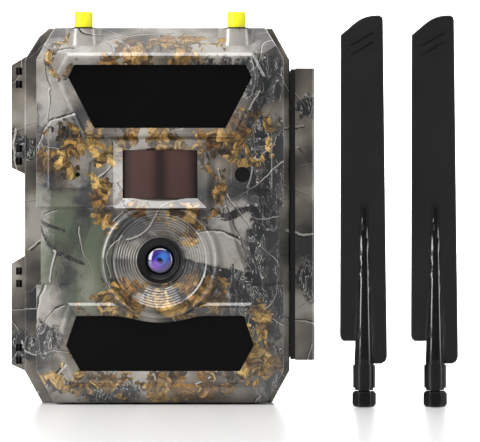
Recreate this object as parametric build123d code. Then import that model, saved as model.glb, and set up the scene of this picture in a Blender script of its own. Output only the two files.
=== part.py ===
"""A cellular trail camera: a camouflaged case in two halves, hinged on the left and latched on the right,
with the optics and electronics in the front half, cells in the rear half and two screw-on antennas.

Millimetres. Seen from the front, +X is to the right, +Y runs from front to back and +Z is up.
The origin is the mouth of the tripod thread in the base. The lens lies in the plane X = 0.
Each sub-part is written to parts/NODE.step.
"""

import math
import os

from build123d import *

# ---- the case -----------------------------------------------------------------------------------
BODY_LEFT, BODY_RIGHT, BODY_TOP = -51.2, 49.0, 141.2
CORNER_CUT = (6.6, 12.0)  # width and height cut off each corner
FRONT_Y, SPLIT_Y, BACK_Y = -45.0, -14.0, 16.0
SEAM = 0.3  # gap between the two halves
COVER_BACK = SPLIT_Y - SEAM / 2
HOUSING_FRONT = SPLIT_Y + SEAM / 2
FACE_HALF = 46.3  # half the width of the raised front
FACE_BASE = 0.5
FACE_BEVEL = 5.2
HINGE_CORNER = ((-41.9, 141.2), (-45.6, 138.0))  # the two steps of the upper corner on the hinge side
FLANGE_FRONT = -20.0
TOP_SLOPE = ((FRONT_Y, 131.5), (-27.0, BODY_TOP))  # (depth, height) where the slope starts and ends
BASE_SLOPE = ((FRONT_Y, 6.2), (-39.0, FACE_BASE))
RIDGE_ROUND = 0.7
HOUSING_WALL, RIM_WALL, SHELF_WALL = 2.6, 3.4, 4.6
DECK_FRONT, DECK_BACK = -9.0, -7.0
SHELF_BACK = -5.0
BACK_CHAMFER = 4.0
GASKET_INSET, GASKET_WIDTH, GASKET_DEPTH = 1.1, 1.6, 1.0

# ---- the front's features ------------------------------------------------------------------------
RECESS_DEPTH = 2.0
LIP_RISE, LIP_WIDTH = 0.7, 0.8  # the raised rim round each window field
PANE_THICK = 1.5
CAVITY_FRONT = -40.3
CAVITY_HALF = 42.4
CAVITY_BASE, CAVITY_TOP = 5.0, 136.2
UPPER_PANE = [(-24.6, 103.4), (24.6, 103.4), (34.4, 122.4), (32.1, 127.1), (-32.1, 127.1), (-34.4, 122.4)]
UPPER_RECESS = [(-28.3, 99.9), (28.3, 99.9), (38.9, 122.7), (34.6, 130.9), (-34.6, 130.9), (-38.9, 122.7)]
LOWER_PANE = [(-29.9, 12.4), (29.9, 12.4), (35.2, 22.0), (31.4, 33.1), (-31.4, 33.1), (-35.2, 22.0)]
LOWER_RECESS = [(-32.3, 8.8), (32.3, 8.8), (39.2, 21.5), (34.0, 37.5), (-34.0, 37.5), (-39.2, 21.5)]
LED_RADIUS = 2.3
PANE_LEDGE = 1.6  # how far the shelf behind a pane runs inside its edge
LENS_Z = 53.8
RING_RADIUS = 21.6
DISH_RADIUS = 17.6
BARREL_RADIUS = 8.3
RING_FOOT = 22.4
PIR_CENTRE_Z = 86.1
PIR_HALF = (14.0, 9.0)  # half the window's width and height
PIR_BLOCK_HALF = (20.2, 13.4)
RING_CUT = 72.8  # the ring is cut off straight under the motion window's frame
PIR_RISE = 1.8
SENSOR_X, SENSOR_Z = 30.8, 86.0
MIC_HOLE, LIGHT_HOLE = 0.9, 2.9
WAIST = (44.7, 74.0)  # heights between which the sides are drawn in
WAIST_INSET, WAIST_DROP = 1.6, 1.7

# ---- antenna sockets on top ----------------------------------------------------------------------
SOCKET_X, SOCKET_Y = 28.7, -33.6
BOSS_TOP_RADIUS, BOSS_FOOT_RADIUS, BOSS_TOP = 6.8, 8.6, 140.7
SMA_RADIUS, SMA_TOP = 3.0, 146.0
WASHER = (4.5, 0.5)  # radius and thickness
CAP_RADIUS, CAP_TOP, CAP_TRAVEL = 3.5, 147.1, 14.0

# ---- hinge and latch -----------------------------------------------------------------------------
HINGE_X, HINGE_RADIUS, HINGE_PIN = -53.5, 2.6, 1.0
HINGE_BLOCKS = ((14.2, 52.4), (88.5, 127.3))
KNUCKLE_HEIGHT = 9.6  # of each of the cover's knuckles
KNUCKLE_GAP = 0.3
HINGE_FACE = (-18.4, -16.95)  # depth limits of the plate in front of the knuckles
WINDOW = (2.4, 2.8)  # width and height of the windows that show the pin
WINDOW_CENTRES = ((15.7, 20.6, 44.8, 49.5), (91.0, 95.8, 120.0, 125.0))
RUNNING = 0.05  # radial clearance of what turns on a pin
LATCH_Z = (15.9, 126.1)
LATCH_AXIS = (53.4, 5.0)
LATCH_INNER, LATCH_OUTER, LATCH_FRONT = 51.0, 58.4, -21.6
LATCH_RIB = (50.6, -13.5, -10.5)  # outer edge and depth limits of the rib on the case behind the latch
LATCH_KNUCKLE = 2.5
LATCH_BRACKETS = ((22.0, 34.0), (65.0, 77.0), (108.0, 120.0))

# ---- battery bay ---------------------------------------------------------------------------------
CELL_RADIUS, CELL_LENGTH, CELL_PITCH = 7.2, 49.2, 14.7
CELL_COLUMNS, CELL_NUB = 4, 1.0
CELL_Y = 4.0
BAY_X, BAY_HALF = -1.2, 29.9
BAY_Z = (16.4, 125.6)
BAY_BACK, BAY_WALL = 11.7, 1.4
DIVIDER_HALF = 0.8
DOOR_TRAVEL = 4.0

# ---- base and back -------------------------------------------------------------------------------
THREAD_RADIUS, THREAD_DEPTH = 2.55, 9.5  # tapping size of the 1/4-20 tripod thread
INSERT_RADIUS, INSERT_HEIGHT = 4.6, 11.0
JACK_X, JACK_RADIUS, JACK_BORE = 28.0, 4.2, 2.7
BRACKET_BACK = 31.7
BRACKET_X = (-33.0, 30.6)
BRACKET_Z = (14.0, 128.0)
BRACKET_PLATE, RAIL_WIDTH = 4.0, 8.0
STRAP_SLOT = (21.5, 27.5, 57.0, 85.0)  # depth and height limits
LOCK_RADIUS, LOCK_Y, LOCK_Z = 4.0, 25.0, (36.0, 106.0)

# ---- inner panel of the cover ---------------------------------------------------------------------
PANEL_FRONT, PANEL_BACK = -17.2, -15.2
PANEL_HALF, PANEL_BASE, PANEL_TOP = 42.0, 8.0, 130.5
DISPLAY_CENTRE, DISPLAY_HALF = (-8.0, 92.0), (22.5, 17.0)
BUTTON_TRAVEL = 0.8
BUTTONS = {
    "menu_button": (-24.0, 56.0, 4.0),
    "up_button": (3.0, 62.0, 3.2),
    "down_button": (3.0, 42.0, 3.2),
    "left_button": (-7.0, 52.0, 3.2),
    "right_button": (13.0, 52.0, 3.2),
    "ok_button": (3.0, 52.0, 3.6),
}
SWITCH_CENTRE = (32.0, 52.0)

# ---- antennas ------------------------------------------------------------------------------------
ANTENNA_X = (75.6, 101.9)
ANTENNA_Y = -70.0
BLADE_THICK = 2.8
STEM_RADIUS, STEM_TIP = 3.65, 74.8
NUT_RADIUS, NUT_TOP = 4.2, 15.6

PARTS = {}


def outline(left, right, base, top, cut_x=CORNER_CUT[0], cut_z=CORNER_CUT[1]):
    """A rectangle with its four corners cut, as (x, z) points."""
    return [
        (left + cut_x, base),
        (right - cut_x, base),
        (right, base + cut_z),
        (right, top - cut_z),
        (right - cut_x, top),
        (left + cut_x, top),
        (left, top - cut_z),
        (left, base + cut_z),
    ]


def case_edge():
    """The outline of both halves of the case."""
    points = outline(BODY_LEFT, BODY_RIGHT, 0, BODY_TOP)
    return points[:5] + list(HINGE_CORNER) + points[6:]


def rectangle(x, z, half_x, half_z):
    return [(x - half_x, z - half_z), (x + half_x, z - half_z), (x + half_x, z + half_z), (x - half_x, z + half_z)]


def sheet(points, y):
    """A flat face through (x, z) points at one depth."""
    return Plane.XZ.offset(-y) * make_face(Polyline(*points, close=True))


def raised(face, y_front, y_back):
    """A face at y_back pulled forward to y_front."""
    return extrude(face, y_back - y_front, dir=(0, -1, 0))


def slab(points, y_front, y_back):
    return raised(sheet(points, y_back), y_front, y_back)


def taper(points_front, y_front, points_back, y_back):
    return loft([sheet(points_front, y_front), sheet(points_back, y_back)], ruled=True)


def inset(points, amount):
    """The anticlockwise (x, z) outline drawn in by amount all round."""
    result = []
    for i, (x, z) in enumerate(points):
        (xa, za), (xb, zb) = points[i - 1], points[(i + 1) % len(points)]
        ua = ((x - xa) / math.dist((x, z), (xa, za)), (z - za) / math.dist((x, z), (xa, za)))
        ub = ((xb - x) / math.dist((x, z), (xb, zb)), (zb - z) / math.dist((x, z), (xb, zb)))
        turn = ua[0] * ub[1] - ua[1] * ub[0]
        result.append((x + amount * (ub[0] - ua[0]) / turn, z + amount * (ub[1] - ua[1]) / turn))
    return result


def box(x0, x1, y0, y1, z0, z1):
    return Pos((x0 + x1) / 2, (y0 + y1) / 2, (z0 + z1) / 2) * Box(x1 - x0, y1 - y0, z1 - z0)


def rod_y(x, z, radius, y0, y1):
    return Pos(x, (y0 + y1) / 2, z) * Rot(90, 0, 0) * Cylinder(radius, y1 - y0)


def rod_z(x, y, radius, z0, z1):
    return Pos(x, y, (z0 + z1) / 2) * Cylinder(radius, z1 - z0)


def cone_z(x, y, radius_low, radius_high, z0, z1):
    return Pos(x, y, (z0 + z1) / 2) * Cone(radius_low, radius_high, z1 - z0)


def side_prism(points, x0, x1):
    """A prism along X whose section is given as (y, z) points."""
    return extrude(Plane.YZ.offset(x0) * make_face(Polyline(*points, close=True)), x1 - x0, dir=(1, 0, 0))


def plan_prism(points, z0, z1):
    """A prism along Z whose section is given as (x, y) points."""
    return extrude(Plane.XY.offset(z0) * make_face(Polyline(*points, close=True)), z1 - z0, dir=(0, 0, 1))


def spun(points, x, z):
    """A body turned about an axis along Y through (x, z), from (radius, y) points."""
    face = Plane.XY * make_face(Polyline(*points, close=True))
    return Pos(x, 0, z) * revolve(face, Axis.Y)


def mirrored(shape):
    return mirror(shape, Plane.YZ)


def add(name, shape):
    PARTS[name] = shape
    return shape


# ---- front cover ---------------------------------------------------------------------------------
def face_block():
    """The bevelled front of the cover, before anything is cut into it."""
    body = slab(outline(-FACE_HALF, FACE_HALF, FACE_BASE, BODY_TOP), FRONT_Y, COVER_BACK)
    body = chamfer(body.edges().group_by(Axis.Y)[0], FACE_BEVEL)
    (y0, z0), (y1, z1) = TOP_SLOPE
    steep = (z1 - z0) / (y1 - y0)
    reach = 10.0
    body -= side_prism([(y0 - reach, z0 - reach * steep), (y1, z1), (y1, z1 + 9), (y0 - reach, z1 + 9)], -60, 60)
    (y0, z0), (y1, z1) = BASE_SLOPE
    steep = (z1 - z0) / (y1 - y0)
    body -= side_prism([(y0 - reach, z0 - reach * steep), (y1, z1), (y1, -9), (y0 - reach, -9)], -60, 60)
    ridges = body.edges().filter_by(lambda e: e.center().Y < FLANGE_FRONT)
    return fillet(ridges, RIDGE_ROUND)


def waist_cut():
    """What is taken off the left side between the two waist heights. The right side mirrors it."""
    low, high = WAIST
    side = -FACE_HALF + WAIST_INSET
    front = FRONT_Y + WAIST_DROP
    edge = [(-60, low), (-34.0, low), (-33.2, low + 0.4), (-25.9, 67.0), (-25.7, 70.0), (-26.5, 72.6), (-28.6, high), (-60, high)]
    pocket = slab(edge, FRONT_Y - 5, FLANGE_FRONT)
    kept = plan_prism(
        [(side, FLANGE_FRONT + 1), (side, front + FACE_BEVEL), (side + FACE_BEVEL, front), (0, front), (0, FLANGE_FRONT + 1)],
        low - 1,
        high + 1,
    )
    return pocket - kept


def wing():
    """The raised field round the microphone hole. The light sensor's mirrors it."""
    points = [
        (-42.0, 80.5), (-29.4, 80.5), (-27.6, 81.2), (-26.4, 82.6), (-26.0, 84.4), (-26.4, 87.0), (-26.2, 90.3), (-19.0, 95.0), (-19.0, 99.7),
        (-42.0, 99.7),
    ]
    return taper(inset(points, 0.5), FRONT_Y - 0.9, points, FRONT_Y + 0.2)


def lens_ring():
    """The two round ridges and the stepped dish round the lens."""
    y = FRONT_Y
    profile = [
        (RING_FOOT, CAVITY_FRONT + 0.2),
        (RING_FOOT, y - 0.2),
        (RING_FOOT - 0.5, y - 0.7),
        (RING_RADIUS + 0.4, y - 0.9),
        (RING_RADIUS, y - 1.7),
        (RING_RADIUS - 0.6, y - 2.0),
        (RING_RADIUS - 1.3, y - 1.7),
        (RING_RADIUS - 1.7, y - 1.1),
        (RING_RADIUS - 2.4, y - 1.1),
        (RING_RADIUS - 2.8, y - 1.6),
        (RING_RADIUS - 3.3, y - 1.6),
        (DISH_RADIUS, y - 0.6),
    ]
    steps = 9
    inner, depth = BARREL_RADIUS + 0.5, 3.4
    for i in range(1, steps + 1):
        radius = DISH_RADIUS - (DISH_RADIUS - inner) * i / steps
        rise = depth * i / steps
        profile.append((radius + 0.35, y - 0.6 + rise))
        profile.append((radius, y - 0.75 + rise))
    profile.append((inner, CAVITY_FRONT + 0.2))
    return spun(profile, 0, LENS_Z)


def pir_block():
    half_x, half_z = PIR_BLOCK_HALF
    foot = rectangle(0, PIR_CENTRE_Z, half_x, half_z)
    crown = rectangle(0, PIR_CENTRE_Z, half_x - 1.8, half_z - 0.5)
    return taper(crown, FRONT_Y - PIR_RISE, foot, FRONT_Y + 0.2)


def pir_opening():
    half_x, half_z = PIR_HALF
    mouth = rectangle(0, PIR_CENTRE_Z, half_x + 3.5, half_z + 3.6)
    window = rectangle(0, PIR_CENTRE_Z, half_x, half_z)
    return taper(mouth, FRONT_Y - PIR_RISE - 0.01, window, FRONT_Y + 0.6) + slab(window, FRONT_Y, CAVITY_FRONT + 1)


def pane_outline(points, dipped):
    """A window's edge as a face sketch: straight sides, and for the lower one a dip under the lens ring."""
    if not dipped:
        return make_face(Polyline(*points, close=True))
    low_left, low_right, right, high_right, high_left, left = points
    dip, half = 2.5, 17.5
    top = high_right[1]
    edge = Spline(
        [(half, top), (half * 0.5, top - dip * 0.56), (0, top - dip), (-half * 0.5, top - dip * 0.56), (-half, top)],
        tangents=[(-1, 0), (-1, 0)],
    )
    start = Polyline((-half, top), high_left, left, low_left, low_right, right, high_right, (half, top))
    return make_face(Curve() + [edge, start])


def window_lip(recess):
    """The raised rim round a window field, still filled."""
    return taper(inset(recess, 0.5), FRONT_Y - LIP_RISE, inset(recess, -0.7), FRONT_Y + 0.1)


def pane_pocket(pane, recess, dipped):
    """The sloped recess inside the rim and the pocket that the pane lies in."""
    floor = FRONT_Y + RECESS_DEPTH
    body = taper(inset(recess, 0.5 + LIP_WIDTH), FRONT_Y - LIP_RISE - 0.01, pane, floor)
    at = Plane.XZ.offset(-(floor + PANE_THICK))
    body += raised(at * pane_outline(pane, dipped), FRONT_Y + 0.4, floor + PANE_THICK)
    return body


def socket_boss(x):
    """The upright boss under an antenna socket, drawn in towards its top."""
    foot = cone_z(x, SOCKET_Y, BOSS_FOOT_RADIUS + 2.2, BOSS_FOOT_RADIUS - 0.9, 130.4, 134.2)
    return cone_z(x, SOCKET_Y, BOSS_FOOT_RADIUS, BOSS_TOP_RADIUS, 128.0, BOSS_TOP) + foot


def cover_knuckles():
    """The cover's hinge knuckles at both ends of each hinge block, with their webs to the flange."""
    bodies = []
    for low, high in HINGE_BLOCKS:
        for z0, z1 in ((low, low + KNUCKLE_HEIGHT), (high - KNUCKLE_HEIGHT, high)):
            barrel = rod_z(HINGE_X, SPLIT_Y, HINGE_RADIUS, z0, z1)
            web = box(HINGE_X - HINGE_RADIUS, BODY_LEFT + 1, HINGE_FACE[0] + 0.5, COVER_BACK, z0, z1)
            bodies.append(barrel + web)
        outer, inner = HINGE_X - HINGE_RADIUS, BODY_LEFT + 1
        face = [(outer, low), (inner, low - 2.8), (inner, high + 3.4), (outer, high)]
        bodies.append(slab(face, *HINGE_FACE))
    return bodies


def hinge_notches():
    """Room in the cover's flange for the housing's knuckles."""
    cuts = []
    for low, high in HINGE_BLOCKS:
        z0, z1 = low + KNUCKLE_HEIGHT, high - KNUCKLE_HEIGHT
        cuts.append(box(HINGE_X - 5, BODY_LEFT + 0.7, -18.0, SPLIT_Y + 5, z0, z1))
    return cuts


def pin_windows():
    cuts = []
    for centres in WINDOW_CENTRES:
        for z in centres:
            x = HINGE_X + 0.3
            cuts.append(box(x - WINDOW[0] / 2, x + WINDOW[0] / 2, -20, SPLIT_Y, z - WINDOW[1] / 2, z + WINDOW[1] / 2))
    return cuts


def cavity():
    """The hollow of the cover."""
    body = slab(outline(-CAVITY_HALF, CAVITY_HALF, CAVITY_BASE, CAVITY_TOP), CAVITY_FRONT, COVER_BACK + 1)
    (y0, z0), (y1, z1) = TOP_SLOPE
    steep = (z1 - z0) / (y1 - y0)
    drop = 3.2
    body -= side_prism([(y0 - 10, z0 - drop - 10 * steep), (y1, z1 - drop), (y1, z1 + 9), (y0 - 10, z1 + 9)], -60, 60)
    return body


SCREW_POSTS = [(x, z) for z in (13.0, 124.5) for x in (-37.5, 37.5)]


def front_cover():
    body = face_block()
    for side in (waist_cut(), mirrored(waist_cut())):
        body -= side
    flange = slab(case_edge(), FLANGE_FRONT, COVER_BACK)
    body += fillet(flange.edges().group_by(Axis.Y)[0], 0.6)
    for x in (-SOCKET_X, SOCKET_X):
        body += socket_boss(x)
    body += wing() + mirrored(wing())
    body += window_lip(UPPER_RECESS) + window_lip(LOWER_RECESS)
    body -= pane_pocket(UPPER_PANE, UPPER_RECESS, False)
    body -= pane_pocket(LOWER_PANE, LOWER_RECESS, True)
    body += pir_block()
    above = box(-30, 30, FRONT_Y - 9, CAVITY_FRONT + 2, RING_CUT, RING_CUT + 20)
    body -= rod_y(0, LENS_Z, RING_FOOT - 1.0, FRONT_Y - 5, CAVITY_FRONT + 1) - above
    body += lens_ring() - above
    body -= pir_opening()
    body -= cavity()
    for x, z in SCREW_POSTS:
        body += rod_y(x, z, 3.0, CAVITY_FRONT - 1, PANEL_FRONT)
        body -= rod_y(x, z, 1.1, PANEL_FRONT - 8, PANEL_FRONT + 1)
    for pane in (UPPER_PANE, LOWER_PANE):
        body -= slab(inset(pane, PANE_LEDGE + (1.8 if pane is LOWER_PANE else 0)), FRONT_Y, CAVITY_FRONT + 1)
    body -= rod_y(-SENSOR_X, SENSOR_Z, MIC_HOLE, FRONT_Y - 3, CAVITY_FRONT + 1)
    body -= rod_y(SENSOR_X, SENSOR_Z, LIGHT_HOLE, FRONT_Y - 3, CAVITY_FRONT + 1)
    for x in (-SOCKET_X, SOCKET_X):
        body += rod_z(x, SOCKET_Y, 5.6, 131.6, 138.5)
        body -= rod_z(x, SOCKET_Y, SMA_RADIUS + 0.05, 110, BODY_TOP + 1)
    for cut in hinge_notches():
        body -= cut
    for knuckle in cover_knuckles():
        body += knuckle
    for low, high in HINGE_BLOCKS:
        body -= rod_z(HINGE_X, SPLIT_Y, HINGE_PIN + RUNNING, low - 1, high + 1)
    for cut in pin_windows():
        body -= cut
    edge = case_edge()
    groove = slab(inset(edge, GASKET_INSET), COVER_BACK - GASKET_DEPTH, COVER_BACK + 1)
    body -= groove - slab(inset(edge, GASKET_INSET + GASKET_WIDTH), COVER_BACK - 3, COVER_BACK + 3)
    return body


# ---- what the cover carries ----------------------------------------------------------------------
def window_pane(points, dipped):
    floor = FRONT_Y + RECESS_DEPTH
    body = raised(Plane.XZ.offset(-(floor + PANE_THICK)) * pane_outline(inset(points, 0.12), dipped), floor + 0.1, floor + PANE_THICK)
    return body


def led_board(points, rows):
    """A board of infrared lamps behind a pane."""
    board_front = -33.0
    body = slab(inset(points, 2.4), board_front, board_front + 1.6)
    for z, half_count, pitch in rows:
        for i in range(-half_count, half_count + 1):
            body += rod_y(i * pitch, z, LED_RADIUS, -39.0, board_front + 0.2)
            body += Pos(i * pitch, -39.0, z) * Sphere(LED_RADIUS)
    return body


def pir_window():
    half_x, half_z = PIR_HALF
    body = slab(rectangle(0, PIR_CENTRE_Z, half_x - 0.1, half_z - 0.1), FRONT_Y - 0.6, CAVITY_FRONT + 0.5)
    crown = 46.0
    return body & rod_z(0, FRONT_Y - 0.5 + crown, crown, 60, 110)


def pir_sensor():
    body = rod_y(0, PIR_CENTRE_Z, 4.6, -36.4, -31.8) + rod_y(0, PIR_CENTRE_Z, 5.2, -32.6, -31.8)
    return body + slab(rectangle(0, PIR_CENTRE_Z, 12, 7.5), -32.0, -30.4)


def light_window():
    return rod_y(SENSOR_X, SENSOR_Z, LIGHT_HOLE - 0.05, FRONT_Y - 0.4, -42.5)


def lens_barrel():
    outer, y = BARREL_RADIUS + 0.42, FRONT_Y
    profile = [
        (5.45, y + 2.4),
        (6.1, y + 1.9),
        (7.2, y + 1.4),
        (7.6, y + 1.9),
        (8.6, y + 1.7),
        (outer, y + 2.2),
        (outer, -30.0),
        (4.2, -30.0),
        (4.2, y + 7.0),
        (5.45, y + 7.0),
    ]
    return spun(profile, 0, LENS_Z)


def lens_glass():
    """The front element, a dome on a short drum."""
    body = rod_y(0, LENS_Z, 5.4, FRONT_Y + 1.2, FRONT_Y + 7.0)
    crown = 8.4
    return body & (Pos(0, FRONT_Y + 1.3 + crown, LENS_Z) * Sphere(crown))


def camera_module():
    return slab(rectangle(0, LENS_Z, 11, 11), -30.0, -28.4) + slab(rectangle(0, LENS_Z, 4.5, 4.5), -28.5, -25.0)


def main_board():
    body = slab(outline(-40.5, 40.5, 9.0, 129.0, 4, 6), -24.0, -22.4)
    for x, z in SCREW_POSTS:
        body -= rod_y(x, z, 3.4, -26, -20)
    for x, z, _ in BUTTONS.values():
        body += slab(rectangle(x, z, 2.6, 2.6), -22.5, -20.9)
    body += slab(rectangle(SWITCH_CENTRE[0], SWITCH_CENTRE[1], 4.3, 2.4), -22.5, -20.4)
    body += slab(rectangle(20.0, 112.0, 14.0, 9.0), -22.5, -20.2)  # radio module
    body += slab(rectangle(-22.0, 30.0, 13.5, 12.5), -22.5, -19.4)  # card reader
    body += slab(rectangle(26.0, 82.0, 6.5, 6.5), -22.5, -21.2)  # processor
    body += rod_y(-SENSOR_X, SENSOR_Z, 3.0, CAVITY_FRONT, -37.6)  # microphone, and its pillar
    body += rod_y(-SENSOR_X, SENSOR_Z, 1.6, -37.8, -23.9)
    return body


def inner_panel():
    body = slab(outline(-PANEL_HALF, PANEL_HALF, PANEL_BASE, PANEL_TOP, 6.4, 10.4), PANEL_FRONT, PANEL_BACK)
    x, z = DISPLAY_CENTRE
    half_x, half_z = DISPLAY_HALF
    body -= taper(
        rectangle(x, z, half_x - 2, half_z - 2), PANEL_FRONT - 0.1, rectangle(x, z, half_x - 0.8, half_z - 0.8), PANEL_BACK + 0.1
    )
    for bx, bz, radius in BUTTONS.values():
        body -= rod_y(bx, bz, radius + 0.3, PANEL_FRONT - 1, PANEL_BACK + 1)
    body -= slab(rectangle(*SWITCH_CENTRE, 6.0, 2.6), PANEL_FRONT - 1, PANEL_BACK + 1)
    body -= box(-38.6, -2.0, PANEL_FRONT - 1, PANEL_BACK + 1, 17.4, 42.6)
    for sx, sz in SCREW_POSTS:
        body -= rod_y(sx, sz, 1.4, PANEL_FRONT - 1, PANEL_BACK + 1)
    return body


def display():
    x, z = DISPLAY_CENTRE
    half_x, half_z = DISPLAY_HALF
    return slab(rectangle(x, z, half_x, half_z), -19.4, PANEL_FRONT)


def button(x, z, radius):
    body = rod_y(x, z, radius, -19.4, -14.4)
    body = chamfer(body.edges().group_by(Axis.Y)[-1], 0.4)
    return body + rod_y(x, z, radius + 0.8, -18.7, -17.5)


def power_switch():
    x, z = SWITCH_CENTRE
    knob = slab(rectangle(x, z, 3.0, 2.3), -19.4, -14.6)
    for i in (-1.5, 0, 1.5):
        knob -= box(x + i - 0.3, x + i + 0.3, -15.0, -14.0, z - 3, z + 3)
    return knob + slab(rectangle(x, z, 4.0, 3.4), -18.7, -17.5)


def sd_card():
    low, high, near, far = 18.0, 42.0, -38.0, -6.0
    corner = 4.0
    points = [(near, low), (far - corner, low), (far, low + corner), (far, high), (near, high)]
    return slab(points, -19.1, -17.0)


def panel_screw(x, z):
    body = rod_y(x, z, 1.05, PANEL_FRONT - 7, PANEL_BACK) + rod_y(x, z, 2.3, PANEL_BACK, PANEL_BACK + 1.0)
    return body - box(x - 1.7, x + 1.7, PANEL_BACK + 0.5, PANEL_BACK + 2, z - 0.3, z + 0.3)


def sma_port(x):
    body = rod_z(x, SOCKET_Y, SMA_RADIUS, 127.6, SMA_TOP) + rod_z(x, SOCKET_Y, 4.4, 129.2, 131.6)
    return body - rod_z(x, SOCKET_Y, 2.1, SMA_TOP - 5, SMA_TOP + 1) + rod_z(x, SOCKET_Y, 0.5, SMA_TOP - 6, SMA_TOP - 1)


def port_washer(x):
    return rod_z(x, SOCKET_Y, WASHER[0], BOSS_TOP, BOSS_TOP + WASHER[1]) - rod_z(x, SOCKET_Y, SMA_RADIUS + 0.05, 140, 144)


def dust_cap(x):
    foot = BOSS_TOP + WASHER[1] + 0.1
    body = rod_z(x, SOCKET_Y, CAP_RADIUS, foot, CAP_TOP)
    body = fillet(body.edges().group_by(Axis.Z)[-1], 0.5)
    return body - rod_z(x, SOCKET_Y, SMA_RADIUS + RUNNING, foot - 1, SMA_TOP + 0.1)


def hinge_pin(low, high):
    return rod_z(HINGE_X, SPLIT_Y, HINGE_PIN, low + 0.2, high - 0.2)


def gasket():
    edge = case_edge()
    ring = slab(inset(edge, GASKET_INSET + 0.03), COVER_BACK - GASKET_DEPTH + 0.02, COVER_BACK + 0.05)
    return ring - slab(inset(edge, GASKET_INSET + GASKET_WIDTH - 0.03), COVER_BACK - 3, COVER_BACK + 3)


# ---- rear housing --------------------------------------------------------------------------------
def rear_housing():
    edge = case_edge()
    body = slab(edge, HOUSING_FRONT, BACK_Y)
    body = chamfer(body.edges().group_by(Axis.Y)[-1], BACK_CHAMFER)
    body -= slab(inset(edge, RIM_WALL), HOUSING_FRONT - 1, DECK_BACK)
    body -= slab(inset(edge, SHELF_WALL), HOUSING_FRONT - 1, SHELF_BACK)
    hollow = slab(inset(edge, HOUSING_WALL), SHELF_BACK, BACK_Y - HOUSING_WALL)
    body -= chamfer(hollow.edges().group_by(Axis.Y)[-1], BACK_CHAMFER - 0.6)
    body += rod_z(0, 0, INSERT_RADIUS + 2.2, 0, INSERT_HEIGHT + 1.5)
    body -= rod_z(0, 0, INSERT_RADIUS, -1, INSERT_HEIGHT)
    body += rod_z(JACK_X, 0, JACK_RADIUS + 2.7, 0, 5.0)
    body -= rod_z(JACK_X, 0, 6.1, -1, 2.0)
    body -= rod_z(JACK_X, 0, JACK_RADIUS, 1, 6)
    for low, high in HINGE_BLOCKS:
        for z0, z1 in ((low, low + KNUCKLE_HEIGHT), (high - KNUCKLE_HEIGHT, high)):
            body -= rod_z(HINGE_X, SPLIT_Y, HINGE_RADIUS + 0.4, z0 - KNUCKLE_GAP, z1 + KNUCKLE_GAP)
        z0, z1 = low + KNUCKLE_HEIGHT + KNUCKLE_GAP, high - KNUCKLE_HEIGHT - KNUCKLE_GAP
        body += rod_z(HINGE_X, SPLIT_Y, HINGE_RADIUS, z0, z1)
        body += box(HINGE_X, BODY_LEFT + 1, HOUSING_FRONT, SPLIT_Y + HINGE_RADIUS, z0, z1)
        body -= rod_z(HINGE_X, SPLIT_Y, HINGE_PIN + 0.02, z0 - 1, z1 + 1)
    outer, y0, y1 = LATCH_RIB
    body += box(BODY_RIGHT - 1, outer, y0, y1, LATCH_Z[0] + 1, LATCH_Z[1] - 1)
    x, y = LATCH_AXIS
    for z0, z1 in LATCH_BRACKETS:
        body += rod_z(x, y, LATCH_KNUCKLE, z0, z1) + box(BODY_RIGHT - 1, x, y - LATCH_KNUCKLE, y + LATCH_KNUCKLE, z0, z1)
        body -= rod_z(x, y, HINGE_PIN + 0.02, z0 - 1, z1 + 1)
    return body


def battery_liner():
    edge = case_edge()
    low, high = BAY_Z
    left, right = BAY_X - BAY_HALF, BAY_X + BAY_HALF
    body = slab(inset(edge, RIM_WALL + 0.2), DECK_FRONT, DECK_BACK)
    body += box(left - BAY_WALL, right + BAY_WALL, DECK_FRONT, BAY_BACK + BAY_WALL, low - BAY_WALL, high + BAY_WALL)
    body -= box(left, right, DECK_FRONT - 1, BAY_BACK, low, high)
    middle = (low + high) / 2
    body += box(left, right, -4.0, BAY_BACK, middle - DIVIDER_HALF, middle + DIVIDER_HALF)
    for i in range(1, CELL_COLUMNS):
        x = BAY_X + (i - CELL_COLUMNS / 2) * CELL_PITCH
        for z0, z1 in ((low + 6, middle - 6), (middle + 6, high - 6)):
            body += plan_prism([(x - 3.0, BAY_BACK), (x, BAY_BACK - 3.4), (x + 3.0, BAY_BACK)], z0, z1)
    return body


def battery_door():
    low, high = BAY_Z
    left, right = BAY_X - BAY_HALF, BAY_X + BAY_HALF
    body = box(left + 0.3, right - 0.3, DECK_FRONT, DECK_FRONT + 1.8, low + 0.3, high - DOOR_TRAVEL - 0.4)
    for i in range(5):
        z = 106.0 + 2.4 * i
        body -= box(BAY_X - 9, BAY_X + 9, DECK_FRONT - 0.5, DECK_FRONT + 0.6, z, z + 1.0)
    return body


def cell(x, row):
    """One AA cell, its nub towards the divider between the two rows."""
    low, high = BAY_Z
    middle = (low + high) / 2
    tip = middle + (DIVIDER_HALF + 0.5) * row
    foot = tip + (CELL_LENGTH + CELL_NUB) * row
    z0, z1 = sorted((tip + CELL_NUB * row, foot))
    n0, n1 = sorted((tip, tip + (CELL_NUB + 0.2) * row))
    body = rod_z(x, CELL_Y, CELL_RADIUS, z0, z1)
    body = fillet(body.edges().filter_by(GeomType.CIRCLE), 0.5)
    return body + rod_z(x, CELL_Y, 2.7, n0, n1)


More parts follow.
